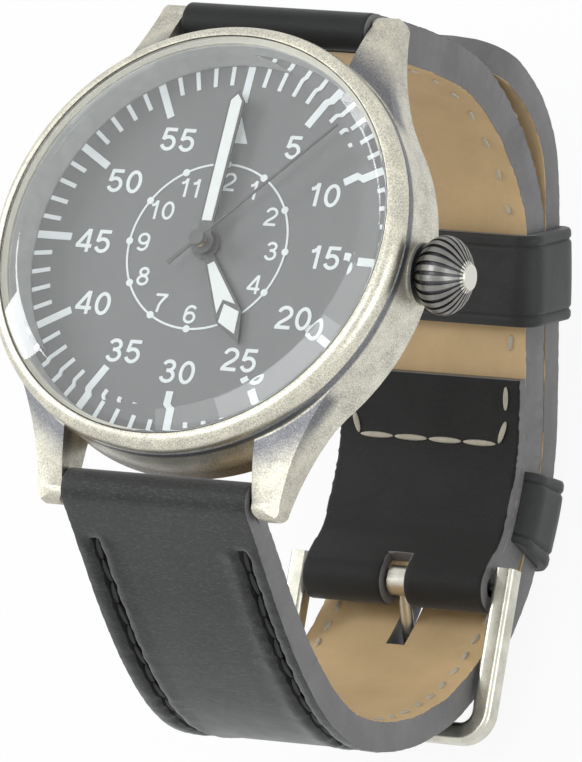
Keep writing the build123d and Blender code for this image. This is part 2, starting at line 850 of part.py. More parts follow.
with BuildPart() as step_wheel:
    add(gear(step_wheel_teeth, rotor_module, third_wheel_low, wheel_thick,
             rotor_bearing, step_place))
    add(gear(step_pinion_teeth, step_module, seconds_wheel_low - pinion_drop, pinion_thick,
             facing(step_bearing, step_pinion_teeth), step_place))
    add(post(step_place, arbor_radius, arbor_low, arbor_high))
step_wheel.part.label = "step_wheel"
export_step(step_wheel.part, "parts/step_wheel.step")

with BuildPart() as rotor:
    add(gear(rotor_teeth, rotor_module, third_wheel_low - pinion_drop, pinion_thick,
             facing(rotor_bearing, rotor_teeth), rotor_place))
    add(post(rotor_place, magnet_radius, stator_low, stator_low + magnet_height))
    add(post(rotor_place, arbor_radius, arbor_low, arbor_high))
rotor.part.label = "rotor"
export_step(rotor.part, "parts/rotor.step")

# Movement holder, plates and electric parts

stem_slot = stem_radius + 4 * bearing_clearance

with BuildPart() as movement_ring:
    add(disc(ring_outer, ring_low, dial_top - dial_thick, hole=ring_inner))
    add(disc(ring_inner + cut_overrun, plate_high, dial_top - dial_thick, hole=ring_lip_inner))
    add(along_x(stem_slot, 0, ring_outer + cut_overrun, crown_height), mode=Mode.SUBTRACT)
movement_ring.part.label = "movement_ring"
export_step(movement_ring.part, "parts/movement_ring.step")

train_places = ((0, 0), third_place, step_place, rotor_place)
pivot_hole = arbor_radius + bearing_clearance
with BuildPart() as main_plate:
    add(disc(plate_radius, plate_low, plate_high))
    for place in pillar_places:
        add(post(place, pillar_radius, bridge_high, plate_low))
        add(post(place, screw_shank, bridge_high, plate_low), mode=Mode.SUBTRACT)
    add(disc(cannon_tube_radius + bearing_clearance, plate_low - cut_overrun,
             plate_high + cut_overrun), mode=Mode.SUBTRACT)
    for place in train_places[1:]:
        add(post(place, pivot_hole, plate_low - cut_overrun, arbor_high), mode=Mode.SUBTRACT)
    add(post(motion_place, pivot_hole, arbor_high, plate_high + cut_overrun), mode=Mode.SUBTRACT)
    add(along_x(stem_slot, 0, plate_radius + cut_overrun, crown_height), mode=Mode.SUBTRACT)
    add(slab(setting_thick + 2 * pull_travel, setting_wide + 4 * bearing_clearance,
             plate_low - cut_overrun, crown_height + setting_rise + 2 * bearing_clearance,
             x=stem_groove_at + pull_travel / 2), mode=Mode.SUBTRACT)
    add(along_x(sliding_radius + 2 * bearing_clearance, sliding_start - pull_travel,
                sliding_start + sliding_length + 2 * pull_travel, crown_height),
        mode=Mode.SUBTRACT)
main_plate.part.label = "main_plate"
export_step(main_plate.part, "parts/main_plate.step")

with BuildPart() as train_bridge:
    with BuildSketch(Plane.XY.offset(bridge_low)):
        with Locations((bridge_x, bridge_y)):
            RectangleRounded(bridge_wide, bridge_long, bridge_corner)
        with Locations(*train_places):
            Circle(pivot_hole, mode=Mode.SUBTRACT)
        with Locations(*pillar_places):
            Circle(screw_shank, mode=Mode.SUBTRACT)
    extrude(amount=bridge_high - bridge_low)
train_bridge.part.label = "train_bridge"
export_step(train_bridge.part, "parts/train_bridge.step")

with BuildPart() as bridge_screws:
    for place in pillar_places:
        add(post(place, screw_head, bridge_low - screw_head_high, bridge_low))
        add(post(place, screw_shank, bridge_low, plate_low))
bridge_screws.part.label = "bridge_screws"
export_step(bridge_screws.part, "parts/bridge_screws.step")

with BuildPart() as circuit_board:
    with BuildSketch(Plane.XY.offset(plate_low - board_thick)):
        with BuildLine():
            start = on_circle(board_outer, board_start)
            middle = on_circle(board_outer, board_start + board_sweep / 2)
            end = on_circle(board_outer, board_start + board_sweep)
            inner_start = on_circle(board_inner, board_start)
            inner_middle = on_circle(board_inner, board_start + board_sweep / 2)
            inner_end = on_circle(board_inner, board_start + board_sweep)
            ThreePointArc(start, middle, end)
            Line(end, inner_end)
            ThreePointArc(inner_end, inner_middle, inner_start)
            Line(inner_start, start)
        make_face()
    extrude(amount=board_thick)
    chip_place = on_circle((board_inner + board_outer) / 2, board_start + board_sweep / 2)
    add(slab(chip_size, chip_size, plate_low - board_thick - chip_thick, plate_low - board_thick,
             *chip_place))
circuit_board.part.label = "circuit_board"
export_step(circuit_board.part, "parts/circuit_board.step")

battery_low = plate_low - battery_height
with BuildPart() as battery:
    with BuildSketch(Plane.XY.offset(battery_low)):
        with Locations((battery_x, battery_y)):
            Circle(battery_radius - battery_edge)
    extrude(amount=battery_height)
    with BuildSketch(Plane.XY.offset(battery_low + battery_edge)):
        with Locations((battery_x, battery_y)):
            Circle(battery_radius)
    extrude(amount=battery_height - battery_edge)
battery.part.label = "battery"
export_step(battery.part, "parts/battery.step")

clamp_angle = math.degrees(math.atan2(battery_y, battery_x)) + half_turn / 2
with BuildPart() as battery_clamp:
    with BuildSketch(Plane(origin=(battery_x, battery_y, battery_low - clamp_thick),
                           x_dir=(*on_circle(1, clamp_angle), 0), z_dir=(0, 0, 1))):
        Rectangle(2 * clamp_reach, clamp_wide)
    extrude(amount=clamp_thick)
    with BuildSketch(Plane(origin=(battery_x, battery_y, battery_low - clamp_thick),
                           x_dir=(*on_circle(1, clamp_angle), 0), z_dir=(0, 0, 1))):
        for side in (1, -1):
            with Locations((side * (clamp_reach - clamp_thick / 2), 0)):
                Rectangle(clamp_thick, clamp_wide)
    extrude(amount=battery_height + clamp_thick)
battery_clamp.part.label = "battery_clamp"
export_step(battery_clamp.part, "parts/battery_clamp.step")

with BuildPart() as stator:
    with BuildSketch(Plane.XY.offset(stator_low)):
        with BuildLine():
            Polyline((stator_left, stator_pole_low), (stator_neck, stator_pole_low),
                     (stator_neck, stator_bottom), (stator_right, stator_bottom),
                     (stator_right, stator_bottom + stator_arm),
                     (stator_neck + stator_leg, stator_bottom + stator_arm),
                     (stator_neck + stator_leg, stator_top - stator_arm),
                     (stator_right, stator_top - stator_arm), (stator_right, stator_top),
                     (stator_neck, stator_top), (stator_neck, stator_pole_high),
                     (stator_left, stator_pole_high), close=True)
        make_face()
        with Locations(rotor_place):
            Circle(magnet_radius + stator_clearance, mode=Mode.SUBTRACT)
    extrude(amount=stator_thick)
stator.part.label = "stator"
export_step(stator.part, "parts/stator.step")

core_start = stator_bottom + stator_arm
core_length = stator_top - stator_arm - core_start
with BuildPart() as coil:
    with BuildSketch(Plane(origin=(coil_x, core_start, coil_z), x_dir=(1, 0, 0),
                           z_dir=(0, 1, 0))):
        Circle(coil_core)
    extrude(amount=core_length)
    with BuildSketch(Plane(origin=(coil_x, core_start + coil_margin, coil_z), x_dir=(1, 0, 0),
                           z_dir=(0, 1, 0))):
        Circle(coil_radius)
    extrude(amount=core_length - 2 * coil_margin)
coil.part.label = "coil"
export_step(coil.part, "parts/coil.step")

# Crown, stem and what they work


def onion(inset):
    """Side view of the crown as (along X, radius), drawn in by an inset."""
    rows = []
    for along, out in crown_profile_shares:
        rows.append((crown_start + along * crown_length, out * crown_radius - inset))
    return rows


shell_plane = Plane(origin=(0, 0, crown_height), x_dir=(1, 0, 0), z_dir=(0, -1, 0))
crown_axis = Axis((0, 0, crown_height), (1, 0, 0))
with BuildPart() as crown:
    with BuildSketch(shell_plane):
        with BuildLine():
            outer = onion(0)
            Spline(*outer)
            Polyline(outer[-1], (outer[-1][0], crown_cap_radius),
                     (outer[-1][0] + crown_cap_rise, crown_cap_radius),
                     (outer[-1][0] + crown_cap_rise, 0), (stem_outer_end, 0),
                     (stem_outer_end, stem_radius), (crown_bore_end, stem_radius),
                     (crown_bore_end, crown_bore_radius), (crown_start, crown_bore_radius),
                     outer[0])
        make_face()
    revolve(axis=crown_axis)
    groove_angle = crown_groove_share * 360 / crown_ridges
    for ridge in range(crown_ridges):
        turn = math.radians(ridge * 360 / crown_ridges)
        ray = Plane(origin=(0, 0, crown_height), x_dir=(1, 0, 0),
                    z_dir=(0, -math.cos(turn), -math.sin(turn)))
        with BuildSketch(ray):
            with BuildLine():
                inner = onion(crown_groove_depth)
                wide = onion(-crown_groove_depth)
                first = crown_start - cut_overrun
                Polyline((first, inner[0][1]), (first, wide[0][1]), wide[0])
                Spline(*wide)
                Line(wide[-1], inner[-1])
                Spline(*inner)
                Line(inner[0], (first, inner[0][1]))
            make_face()
        revolve(axis=crown_axis, revolution_arc=groove_angle, mode=Mode.SUBTRACT)
crown.part.label = "crown"
export_step(crown.part, "parts/crown.step")

with BuildPart() as crown_gasket:
    gasket_start = crown_start + crown_gasket_inset
    add(along_x(crown_bore_radius, gasket_start, gasket_start + crown_gasket_width,
                crown_height, hole=tube_outer + bearing_clearance))
crown_gasket.part.label = "crown_gasket"
export_step(crown_gasket.part, "parts/crown_gasket.step")

with BuildPart() as stem:
    add(along_x(stem_radius, stem_inner_end, stem_outer_end, crown_height))
    add(along_x(stem_radius + cut_overrun, stem_groove_at - stem_groove_width / 2,
                stem_groove_at + stem_groove_width / 2, crown_height, hole=stem_groove_radius),
        mode=Mode.SUBTRACT)
stem.part.label = "stem"
export_step(stem.part, "parts/stem.step")

with BuildPart() as sliding_pinion:
    add(along_x(sliding_radius, sliding_start, sliding_start + sliding_length, crown_height,
                hole=stem_radius))
sliding_pinion.part.label = "sliding_pinion"
export_step(sliding_pinion.part, "parts/sliding_pinion.step")

with BuildPart() as setting_lever:
    add(slab(setting_thick, setting_wide, crown_height - setting_drop,
             crown_height + setting_rise, x=stem_groove_at))
    add(slab(cut_overrun, 2 * (stem_groove_radius + bearing_clearance),
             crown_height - setting_drop - cut_overrun, crown_height, x=stem_groove_at),
        mode=Mode.SUBTRACT)
    add(along_x(stem_groove_radius + bearing_clearance, stem_groove_at - cut_overrun,
                stem_groove_at + cut_overrun, crown_height), mode=Mode.SUBTRACT)
setting_lever.part.label = "setting_lever"
export_step(setting_lever.part, "parts/setting_lever.step")

# Strap: paths in the side view, and bands between two depths of them


def way(start, end):
    return (end[0] - start[0], end[1] - start[1])


def turn_of(points, i):
    """Signed turn of a path at a point, in radians, left turns positive."""
    before = way(points[i - 1], points[i])
    after = way(points[i], points[i + 1])
    cross = before[0] * after[1] - before[1] * after[0]
    dot = before[0] * after[0] + before[1] * after[1]
    return math.atan2(cross, dot)


def bends(points):
    """Signed radius of the arc at each inner point, as large as its runs allow."""
    radii = []
    for i in range(1, len(points) - 1):
        shorter = min(math.dist(points[i - 1], points[i]), math.dist(points[i], points[i + 1]))
        turn = turn_of(points, i)
        radii.append(bend_share * shorter / math.tan(abs(turn) / 2) * math.copysign(1, turn))
    return radii


def left_of(start, end):
    """Unit normal on the left of a run."""
    run = way(start, end)
    length = math.hypot(*run)
    return (-run[1] / length, run[0] / length)


def shifted(points, depth):
    """The same path moved sideways by a depth, to its left."""
    first = left_of(points[0], points[1])
    last = left_of(points[-2], points[-1])
    result = [moved(points[0], (first[0] * depth, first[1] * depth))]
    for i in range(1, len(points) - 1):
        before = left_of(points[i - 1], points[i])
        after = left_of(points[i], points[i + 1])
        blend = (before[0] + after[0], before[1] + after[1])
        size = depth * 2 / (blend[0] ** 2 + blend[1] ** 2)
        result.append(moved(points[i], (blend[0] * size, blend[1] * size)))
    result.append(moved(points[-1], (last[0] * depth, last[1] * depth)))
    return result


def edge_of(points, radii, depth):
    """Line and arc path at a depth, ready for drawing: points and plain radii."""
    return shifted(points, depth), [abs(radius - depth) for radius in radii]


def band(points, radii, near, far, half_width=strap_half_width, start=0):
    """Leather ply between two depths of a path, across the strap's width."""
    near_points, near_radii = edge_of(points, radii, near)
    far_points, far_radii = edge_of(points, radii, far)
    with BuildPart() as ply:
        with BuildSketch(Plane.YZ.offset(start - half_width)):
            with BuildLine():
                FilletPolyline(*near_points, radius=near_radii)
                Line(near_points[-1], far_points[-1])
                FilletPolyline(*far_points, radius=far_radii)
                Line(far_points[0], near_points[0])
            make_face()
        extrude(amount=2 * half_width)
    return ply.part


def part_way(points, radii, first, share):
    """The rest of a path from a share of the run that leaves point number first."""
    run = way(points[first], points[first + 1])
    start = moved(points[first], (run[0] * share, run[1] * share))
    return [start] + list(points[first + 1:]), radii[first:]


def cut_short(points, radii, last, share):
    """A path up to a share of the run that leaves point number last."""
    run = way(points[last], points[last + 1])
    end = moved(points[last], (run[0] * share, run[1] * share))
    return list(points[:last + 1]) + [end], radii[:last]


def slab_along(point, direction, near, far, across):
    """A thick block across a path from near to far along its direction."""
    with BuildPart() as block:
        origin = (0, point[0] + direction[0] * near, point[1] + direction[1] * near)
        with BuildSketch(Plane(origin=origin, x_dir=(1, 0, 0),
                               z_dir=(0, direction[0], direction[1]))):
            Rectangle(across, across)
        extrude(amount=far - near)
    return block.part


def unit(vector):
    length = math.hypot(*vector)
    return (vector[0] / length, vector[1] / length)


def tangent_start(centre, onto, radius, side):
    """Point of a circle where a line on to a point leaves it, on one side."""
    reach = way(centre, onto)
    base = math.degrees(math.atan2(reach[1], reach[0]))
    swing = math.degrees(math.acos(radius / math.hypot(*reach)))
    return moved(centre, on_circle(radius, base + side * swing))


run_12 = (tangent_start(bar_centre_12, strap_12_run[0], eyelet_radius, 1),) + strap_12_run
run_6 = (tangent_start(bar_centre_6, strap_6_run[0], eyelet_radius, -1),) + strap_6_run
radii_12 = bends(run_12)
end_12 = run_12[-1]
end_way = unit(way(run_12[-2], end_12))
end_normal = left_of(run_12[-2], end_12)
fold_radius = (strap_12_thick + flap_thick) / 2
buckle_bar = moved(end_12, (-end_normal[0] * fold_radius, -end_normal[1] * fold_radius))

# The tail runs outside the buckle half, parallel to it
tail_depth = tail_gap + strap_6_thick
under_12 = shifted(run_12, tail_depth)
shared = list(range(run_fixed_end, run_keeper_start - 1, -1))
run_tail = list(run_6) + [under_12[i] for i in shared] + list(tail_tip_run)
radii_6 = bends(run_tail)
for place, i in enumerate(shared):
    radii_6[len(run_6) + place - 1] = abs(radii_12[i - 1]) + tail_depth

slide_way = unit(way(run_12[run_keeper_start], run_12[run_fold]))
keeper_way = unit(way(run_12[run_keeper_fixed], run_12[run_fixed_end]))
recess_end = fixed_keeper_start + fixed_keeper_width


def bar_hole(centre, radius=bar_radius):
    return along_x(radius, -strap_half_width - cut_overrun, strap_half_width + cut_overrun,
                   centre[1], centre[0])


def end_disc(centre, radius):
    """Leather turned round a bar, across the strap's width."""
    return along_x(radius, -strap_half_width, strap_half_width, centre[1], centre[0])


def fold_trim(clearance=0):
    """What is taken off a ply that stops short of the fold at the buckle."""
    return slab_along(end_12, end_way, -fold_radius - clearance, ply_trim_length,
                      ply_trim_across)


def keeper_recess():
    lining_top = -strap_12_outer_ply
    return band(run_12, radii_12, lining_top - keeper_inner_wall, lining_top,
                strap_half_width + cut_overrun) & slab_along(
                    run_12[run_keeper_fixed], keeper_way, fixed_keeper_start, recess_end,
                    ply_trim_across)


filler_12_far = strap_12_thick - strap_12_lining_ply
after_recess = slab_along(run_12[run_keeper_fixed], keeper_way, recess_end,
                          recess_end + ply_trim_length, ply_trim_across)
from_keeper = slab_along(run_12[run_keeper_fixed], keeper_way, fixed_keeper_start,
                         recess_end + ply_trim_length, ply_trim_across)
with BuildPart() as strap_12_leather:
    add(band(run_12, radii_12, -strap_12_outer_ply, 0))
    add(end_disc(bar_centre_12, eyelet_radius))
    flap_path, flap_radii = part_way(run_12, radii_12, run_keeper_start, 1 / 2)
    flap = band(flap_path, flap_radii, -strap_12_thick - flap_thick, -strap_12_thick)
    add(flap - slab_along(run_12[run_fold], slide_way, -ply_trim_length, flap_clear,
                          ply_trim_across))
    add(end_disc(buckle_bar, fold_radius))
    add(bar_hole(bar_centre_12), mode=Mode.SUBTRACT)
    add(bar_hole(buckle_bar), mode=Mode.SUBTRACT)
    add(along_x(fold_radius + fold_slot_extra, -fold_slot_half, fold_slot_half,
                buckle_bar[1], buckle_bar[0]), mode=Mode.SUBTRACT)
strap_12_leather.part.label = "strap_12_leather"
export_step(strap_12_leather.part, "parts/strap_12_leather.step")

with BuildPart() as strap_12_filler:
    add(band(run_12, radii_12, -filler_12_far, -strap_12_outer_ply) - from_keeper)
    add(end_disc(bar_centre_12, eyelet_radius), mode=Mode.SUBTRACT)
strap_12_filler.part.label = "strap_12_filler"
export_step(strap_12_filler.part, "parts/strap_12_filler.step")

with BuildPart() as strap_12_lining:
    add(band(run_12, radii_12, -strap_12_thick, -filler_12_far))
    add(band(run_12, radii_12, -strap_12_thick, -strap_12_outer_ply) & after_recess)
    add(end_disc(bar_centre_12, eyelet_radius), mode=Mode.SUBTRACT)
    add(fold_trim(lining_end_clearance), mode=Mode.SUBTRACT)
    add(keeper_recess(), mode=Mode.SUBTRACT)
strap_12_lining.part.label = "strap_12_lining"
export_step(strap_12_lining.part, "parts/strap_12_lining.step")

# Tail half: square tip with rounded corners, a slot for the tongue and holes

tip_point = run_tail[-1]
tip_normal = left_of(run_tail[-2], tip_point)


def tail_cuts():
    """Everything cut through all plies of the tail half."""
    with BuildPart() as cuts:
        with BuildSketch(Plane(origin=(0, *tip_point), x_dir=(1, 0, 0), z_dir=(0, *tip_normal))):
            Rectangle(2 * (strap_half_width + cut_overrun), 2 * tail_corner)
            with Locations((0, -2 * tail_corner)):
                RectangleRounded(2 * strap_half_width, 4 * tail_corner, tail_corner,
                                 mode=Mode.SUBTRACT)
        extrude(amount=tail_cut_depth, both=True)
        add(slab(2 * tongue_slot_half, tongue_slot_near - tongue_slot_far, tongue_slot_bottom,
                 tongue_slot_top, y=(tongue_slot_near + tongue_slot_far) / 2))
        first, last = run_tail[strap_hole_run], run_tail[strap_hole_run + 1]
        normal = left_of(first, last)
        for share in strap_hole_shares:
            step = way(first, last)
            place = moved(first, (step[0] * share, step[1] * share))
            with BuildSketch(Plane(origin=(0, *place), x_dir=(1, 0, 0), z_dir=(0, *normal))):
                Circle(strap_hole_radius)
            extrude(amount=strap_6_thick + tail_gap / 2)
    return cuts.part


cuts_6 = tail_cuts()
filler_6_far = strap_6_thick - strap_6_lining_ply
with BuildPart() as strap_6_leather:
    add(band(run_tail, radii_6, 0, strap_6_outer_ply))
    add(end_disc(bar_centre_6, eyelet_radius))
    add(bar_hole(bar_centre_6), mode=Mode.SUBTRACT)
    add(cuts_6, mode=Mode.SUBTRACT)
strap_6_leather.part.label = "strap_6_leather"
export_step(strap_6_leather.part, "parts/strap_6_leather.step")

with BuildPart() as strap_6_filler:
    add(band(run_tail, radii_6, strap_6_outer_ply, filler_6_far))
    add(end_disc(bar_centre_6, eyelet_radius), mode=Mode.SUBTRACT)
    add(cuts_6, mode=Mode.SUBTRACT)
strap_6_filler.part.label = "strap_6_filler"
export_step(strap_6_filler.part, "parts/strap_6_filler.step")

with BuildPart() as strap_6_lining:
    add(band(run_tail, radii_6, filler_6_far, strap_6_thick))
    add(end_disc(bar_centre_6, eyelet_radius), mode=Mode.SUBTRACT)
    add(cuts_6, mode=Mode.SUBTRACT)
strap_6_lining.part.label = "strap_6_lining"
export_step(strap_6_lining.part, "parts/strap_6_lining.step")

# Keepers

keeper_in = strap_half_width + keeper_clearance
keeper_out = keeper_in + keeper_wall
keeper_roof = tail_depth + keeper_clearance

with BuildPart() as fixed_keeper:
    whole = band(run_12, radii_12, -strap_12_outer_ply - keeper_inner_wall,
                 keeper_roof + keeper_wall, keeper_out)
    window = band(run_12, radii_12, -strap_12_outer_ply, keeper_roof, keeper_in)
    add((whole - window) & slab_along(run_12[run_keeper_fixed], keeper_way, fixed_keeper_start,
                                      recess_end, ply_trim_across))
fixed_keeper.part.label = "fixed_keeper"
export_step(fixed_keeper.part, "parts/fixed_keeper.step")

free_floor = -strap_12_thick - keeper_clearance
slide_normal = left_of(run_12[run_keeper_start], run_12[run_fold])
keeper_origin = moved(run_12[run_keeper_start],
                      (slide_way[0] * free_keeper_start, slide_way[1] * free_keeper_start))
with BuildPart() as free_keeper:
    section = Plane(origin=(0, *keeper_origin), x_dir=(1, 0, 0), z_dir=(0, *slide_way))
    up = section.y_dir.dot(Vector(0, *slide_normal))
    with BuildSketch(section):
        low, high = free_floor - keeper_inner_wall, keeper_roof + keeper_wall
        with Locations((0, up * (low + high) / 2)):
            RectangleRounded(2 * keeper_out, high - low, keeper_corner)
        with Locations((0, up * (free_floor + keeper_roof) / 2)):
            Rectangle(2 * keeper_in, keeper_roof - free_floor, mode=Mode.SUBTRACT)
    extrude(amount=free_keeper_width)
free_keeper.part.label = "free_keeper"
export_step(free_keeper.part, "parts/free_keeper.step")

# Spring bars, two at the lugs and one in the buckle

tube_bore = bar_radius - bar_wall
for name, centre in (("spring_bar_12", bar_centre_12), ("spring_bar_6", bar_centre_6),
                     ("buckle_bar", buckle_bar)):
    with BuildPart() as bar_tube:
        add(along_x(bar_radius, -bar_half, bar_half, centre[1], centre[0], hole=tip_hole))
        add(along_x(tube_bore, -bar_half + bar_lip, bar_half - bar_lip, centre[1], centre[0]),
            mode=Mode.SUBTRACT)
    bar_tube.part.label = name
    export_step(bar_tube.part, f"parts/{name}.step")

    with BuildPart() as bar_spring:
        add(along_x(tube_bore, -bar_spring_half, bar_spring_half, centre[1], centre[0],
                    hole=bar_spring_inner))
    bar_spring.part.label = f"{name}_spring"
    export_step(bar_spring.part, f"parts/{name}_spring.step")

    for side, word in ((1, "crown_side"), (-1, "far_side")):
        ends = sorted((side * tip_shoulder_at, side * tip_end))
        shoulders = sorted((side * tip_shoulder_at, side * (tip_shoulder_at + tip_shoulder_wide)))
        with BuildPart() as bar_tip:
            add(along_x(tip_radius, *ends, centre[1], centre[0]))
            add(along_x(tip_shoulder_radius, *shoulders, centre[1], centre[0]))
        bar_tip.part.label = f"{name}_tip_{word}"
        export_step(bar_tip.part, f"parts/{name}_tip_{word}.step")

# Buckle: frame and tongue, both turning on the buckle bar

front_bar = (frame_front_y, frame_front_z)
frame_way = unit(way(buckle_bar, front_bar))
frame_length = math.dist(buckle_bar, front_bar)
frame_normal = left_of(buckle_bar, front_bar)
arm_width = frame_outer_half - frame_inner_half
arm_at = (frame_outer_half + frame_inner_half) / 2
with BuildPart() as buckle_frame:
    with BuildLine(Plane(origin=(0, *buckle_bar), x_dir=(1, 0, 0),
                         z_dir=(0, *frame_normal))) as frame_line:
        FilletPolyline((-arm_at, -frame_end_round), (-arm_at, frame_length),
                       (arm_at, frame_length), (arm_at, -frame_end_round),
                       radius=frame_corner)
    arm_start = moved(buckle_bar, (-frame_way[0] * frame_end_round,
                                   -frame_way[1] * frame_end_round))
    with BuildSketch(Plane(origin=(-arm_at, *arm_start), x_dir=(1, 0, 0),
                           z_dir=(0, *frame_way))):
        RectangleRounded(arm_width, frame_thick, frame_edge_round)
    sweep(path=frame_line.line)
    add(along_x(tip_hole, -frame_inner_half - pin_hole_depth, frame_inner_half + pin_hole_depth,
                buckle_bar[1], buckle_bar[0]), mode=Mode.SUBTRACT)
buckle_frame.part.label = "buckle_frame"
export_step(buckle_frame.part, "parts/buckle_frame.step")

rest = frame_thick / 2 + tongue_radius + tongue_seat_gap
tongue_rest = moved(front_bar, (frame_normal[0] * rest, frame_normal[1] * rest))
knee = (tongue_knee_y, tongue_knee_z)
last_way = unit(way(knee, tongue_rest))
tongue_end = moved(tongue_rest, (last_way[0] * tongue_overhang, last_way[1] * tongue_overhang))
tongue_bore = bar_radius + tip_clearance
with BuildPart() as buckle_tongue:
    with BuildLine() as tongue_line:
        FilletPolyline((0, *buckle_bar), (0, *knee), (0, *tongue_end),
                       radius=tongue_knee_radius)
    first_way = unit(way(buckle_bar, knee))
    with BuildSketch(Plane(origin=(0, *buckle_bar), x_dir=(1, 0, 0), z_dir=(0, *first_way))):
        Circle(tongue_radius)
    sweep(path=tongue_line.line)
    add(along_x(tongue_eye_outer, -tongue_eye_half, tongue_eye_half, buckle_bar[1],
                buckle_bar[0]))
    add(along_x(tongue_bore, -tongue_eye_half - cut_overrun, tongue_eye_half + cut_overrun,
                buckle_bar[1], buckle_bar[0]), mode=Mode.SUBTRACT)
buckle_tongue.part.label = "buckle_tongue"
export_step(buckle_tongue.part, "parts/buckle_tongue.step")
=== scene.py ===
"""Pilot watch: leather, glass, printing, metal finishes and the studio.

Lengths are in millimetres in the record's frame, and turn to metres where a mesh is
made. The origin is the middle of the case back's outer face, X points to the crown,
Y to twelve o'clock and Z out of the dial.
"""
import logging
import math
from collections.abc import Callable, Iterable, Sequence
from dataclasses import dataclass, field
from enum import Enum
from typing import NamedTuple

import bmesh
import bpy
from mathutils import Matrix, Vector, noise


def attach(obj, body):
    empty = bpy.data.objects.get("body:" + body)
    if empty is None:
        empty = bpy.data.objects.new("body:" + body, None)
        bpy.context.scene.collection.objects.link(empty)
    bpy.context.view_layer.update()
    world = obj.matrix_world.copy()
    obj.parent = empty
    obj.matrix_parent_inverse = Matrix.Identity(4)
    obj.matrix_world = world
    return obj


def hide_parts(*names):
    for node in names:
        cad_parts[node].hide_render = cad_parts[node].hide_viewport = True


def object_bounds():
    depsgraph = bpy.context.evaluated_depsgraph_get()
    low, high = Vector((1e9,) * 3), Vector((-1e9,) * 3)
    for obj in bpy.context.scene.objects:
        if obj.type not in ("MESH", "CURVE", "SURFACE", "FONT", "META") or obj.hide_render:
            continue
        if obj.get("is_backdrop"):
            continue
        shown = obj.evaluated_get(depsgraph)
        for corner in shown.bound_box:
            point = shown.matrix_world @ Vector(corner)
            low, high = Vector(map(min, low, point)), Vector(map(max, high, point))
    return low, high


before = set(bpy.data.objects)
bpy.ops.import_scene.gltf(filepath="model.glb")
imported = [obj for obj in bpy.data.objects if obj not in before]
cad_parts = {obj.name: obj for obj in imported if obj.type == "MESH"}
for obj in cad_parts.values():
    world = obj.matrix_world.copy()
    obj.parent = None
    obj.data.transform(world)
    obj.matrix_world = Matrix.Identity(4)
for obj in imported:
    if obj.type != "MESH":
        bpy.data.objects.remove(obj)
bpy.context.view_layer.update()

log = logging.getLogger("pilot_watch")

MM = 0.001
Point2 = tuple[float, float]
Color = tuple[float, float, float]
Socket = bpy.types.NodeSocket
# Most of a noise's values lie in this range. Points closer than a weld, in metres, are one.
MOST_NOISE: Point2 = (0.3, 0.7)
WELD = 1e-6
FINE_WELD = 1e-7


class Body(str, Enum):
    """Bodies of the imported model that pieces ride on."""

    CASE = "case"
    CROWN = "crown_group"
    KEEPER = "sliding_keeper"
    BUCKLE = "buckle"
    TONGUE = "tongue"


# The strap's line in the side view


class Row(NamedTuple):
    """A station of a strap: how far along, where in YZ, and which way is out."""

    length: float
    point: Vector
    out: Vector


def metres(span: Point2) -> Point2:
    """A pair of lengths in metres."""
    return (span[0] * MM, span[1] * MM)


def spun(vector: Vector, degrees: float) -> Vector:
    """A side view vector turned to the left by degrees."""
    return Matrix.Rotation(math.radians(degrees), 2) @ vector


def tangent_start(centre: Point2, onto: Point2, radius: float, side: int) -> Point2:
    """Finds where a line on to a point leaves a circle.

    Args:
        centre: middle of the circle.
        onto: the point that the line goes to.
        radius: radius of the circle.
        side: 1 or -1, the side that it leaves.

    Returns:
        The point of the circle.
    """
    reach = Vector(onto) - Vector(centre)
    angle = math.atan2(reach.y, reach.x) + side * math.acos(radius / reach.length)
    return (centre[0] + radius * math.cos(angle), centre[1] + radius * math.sin(angle))


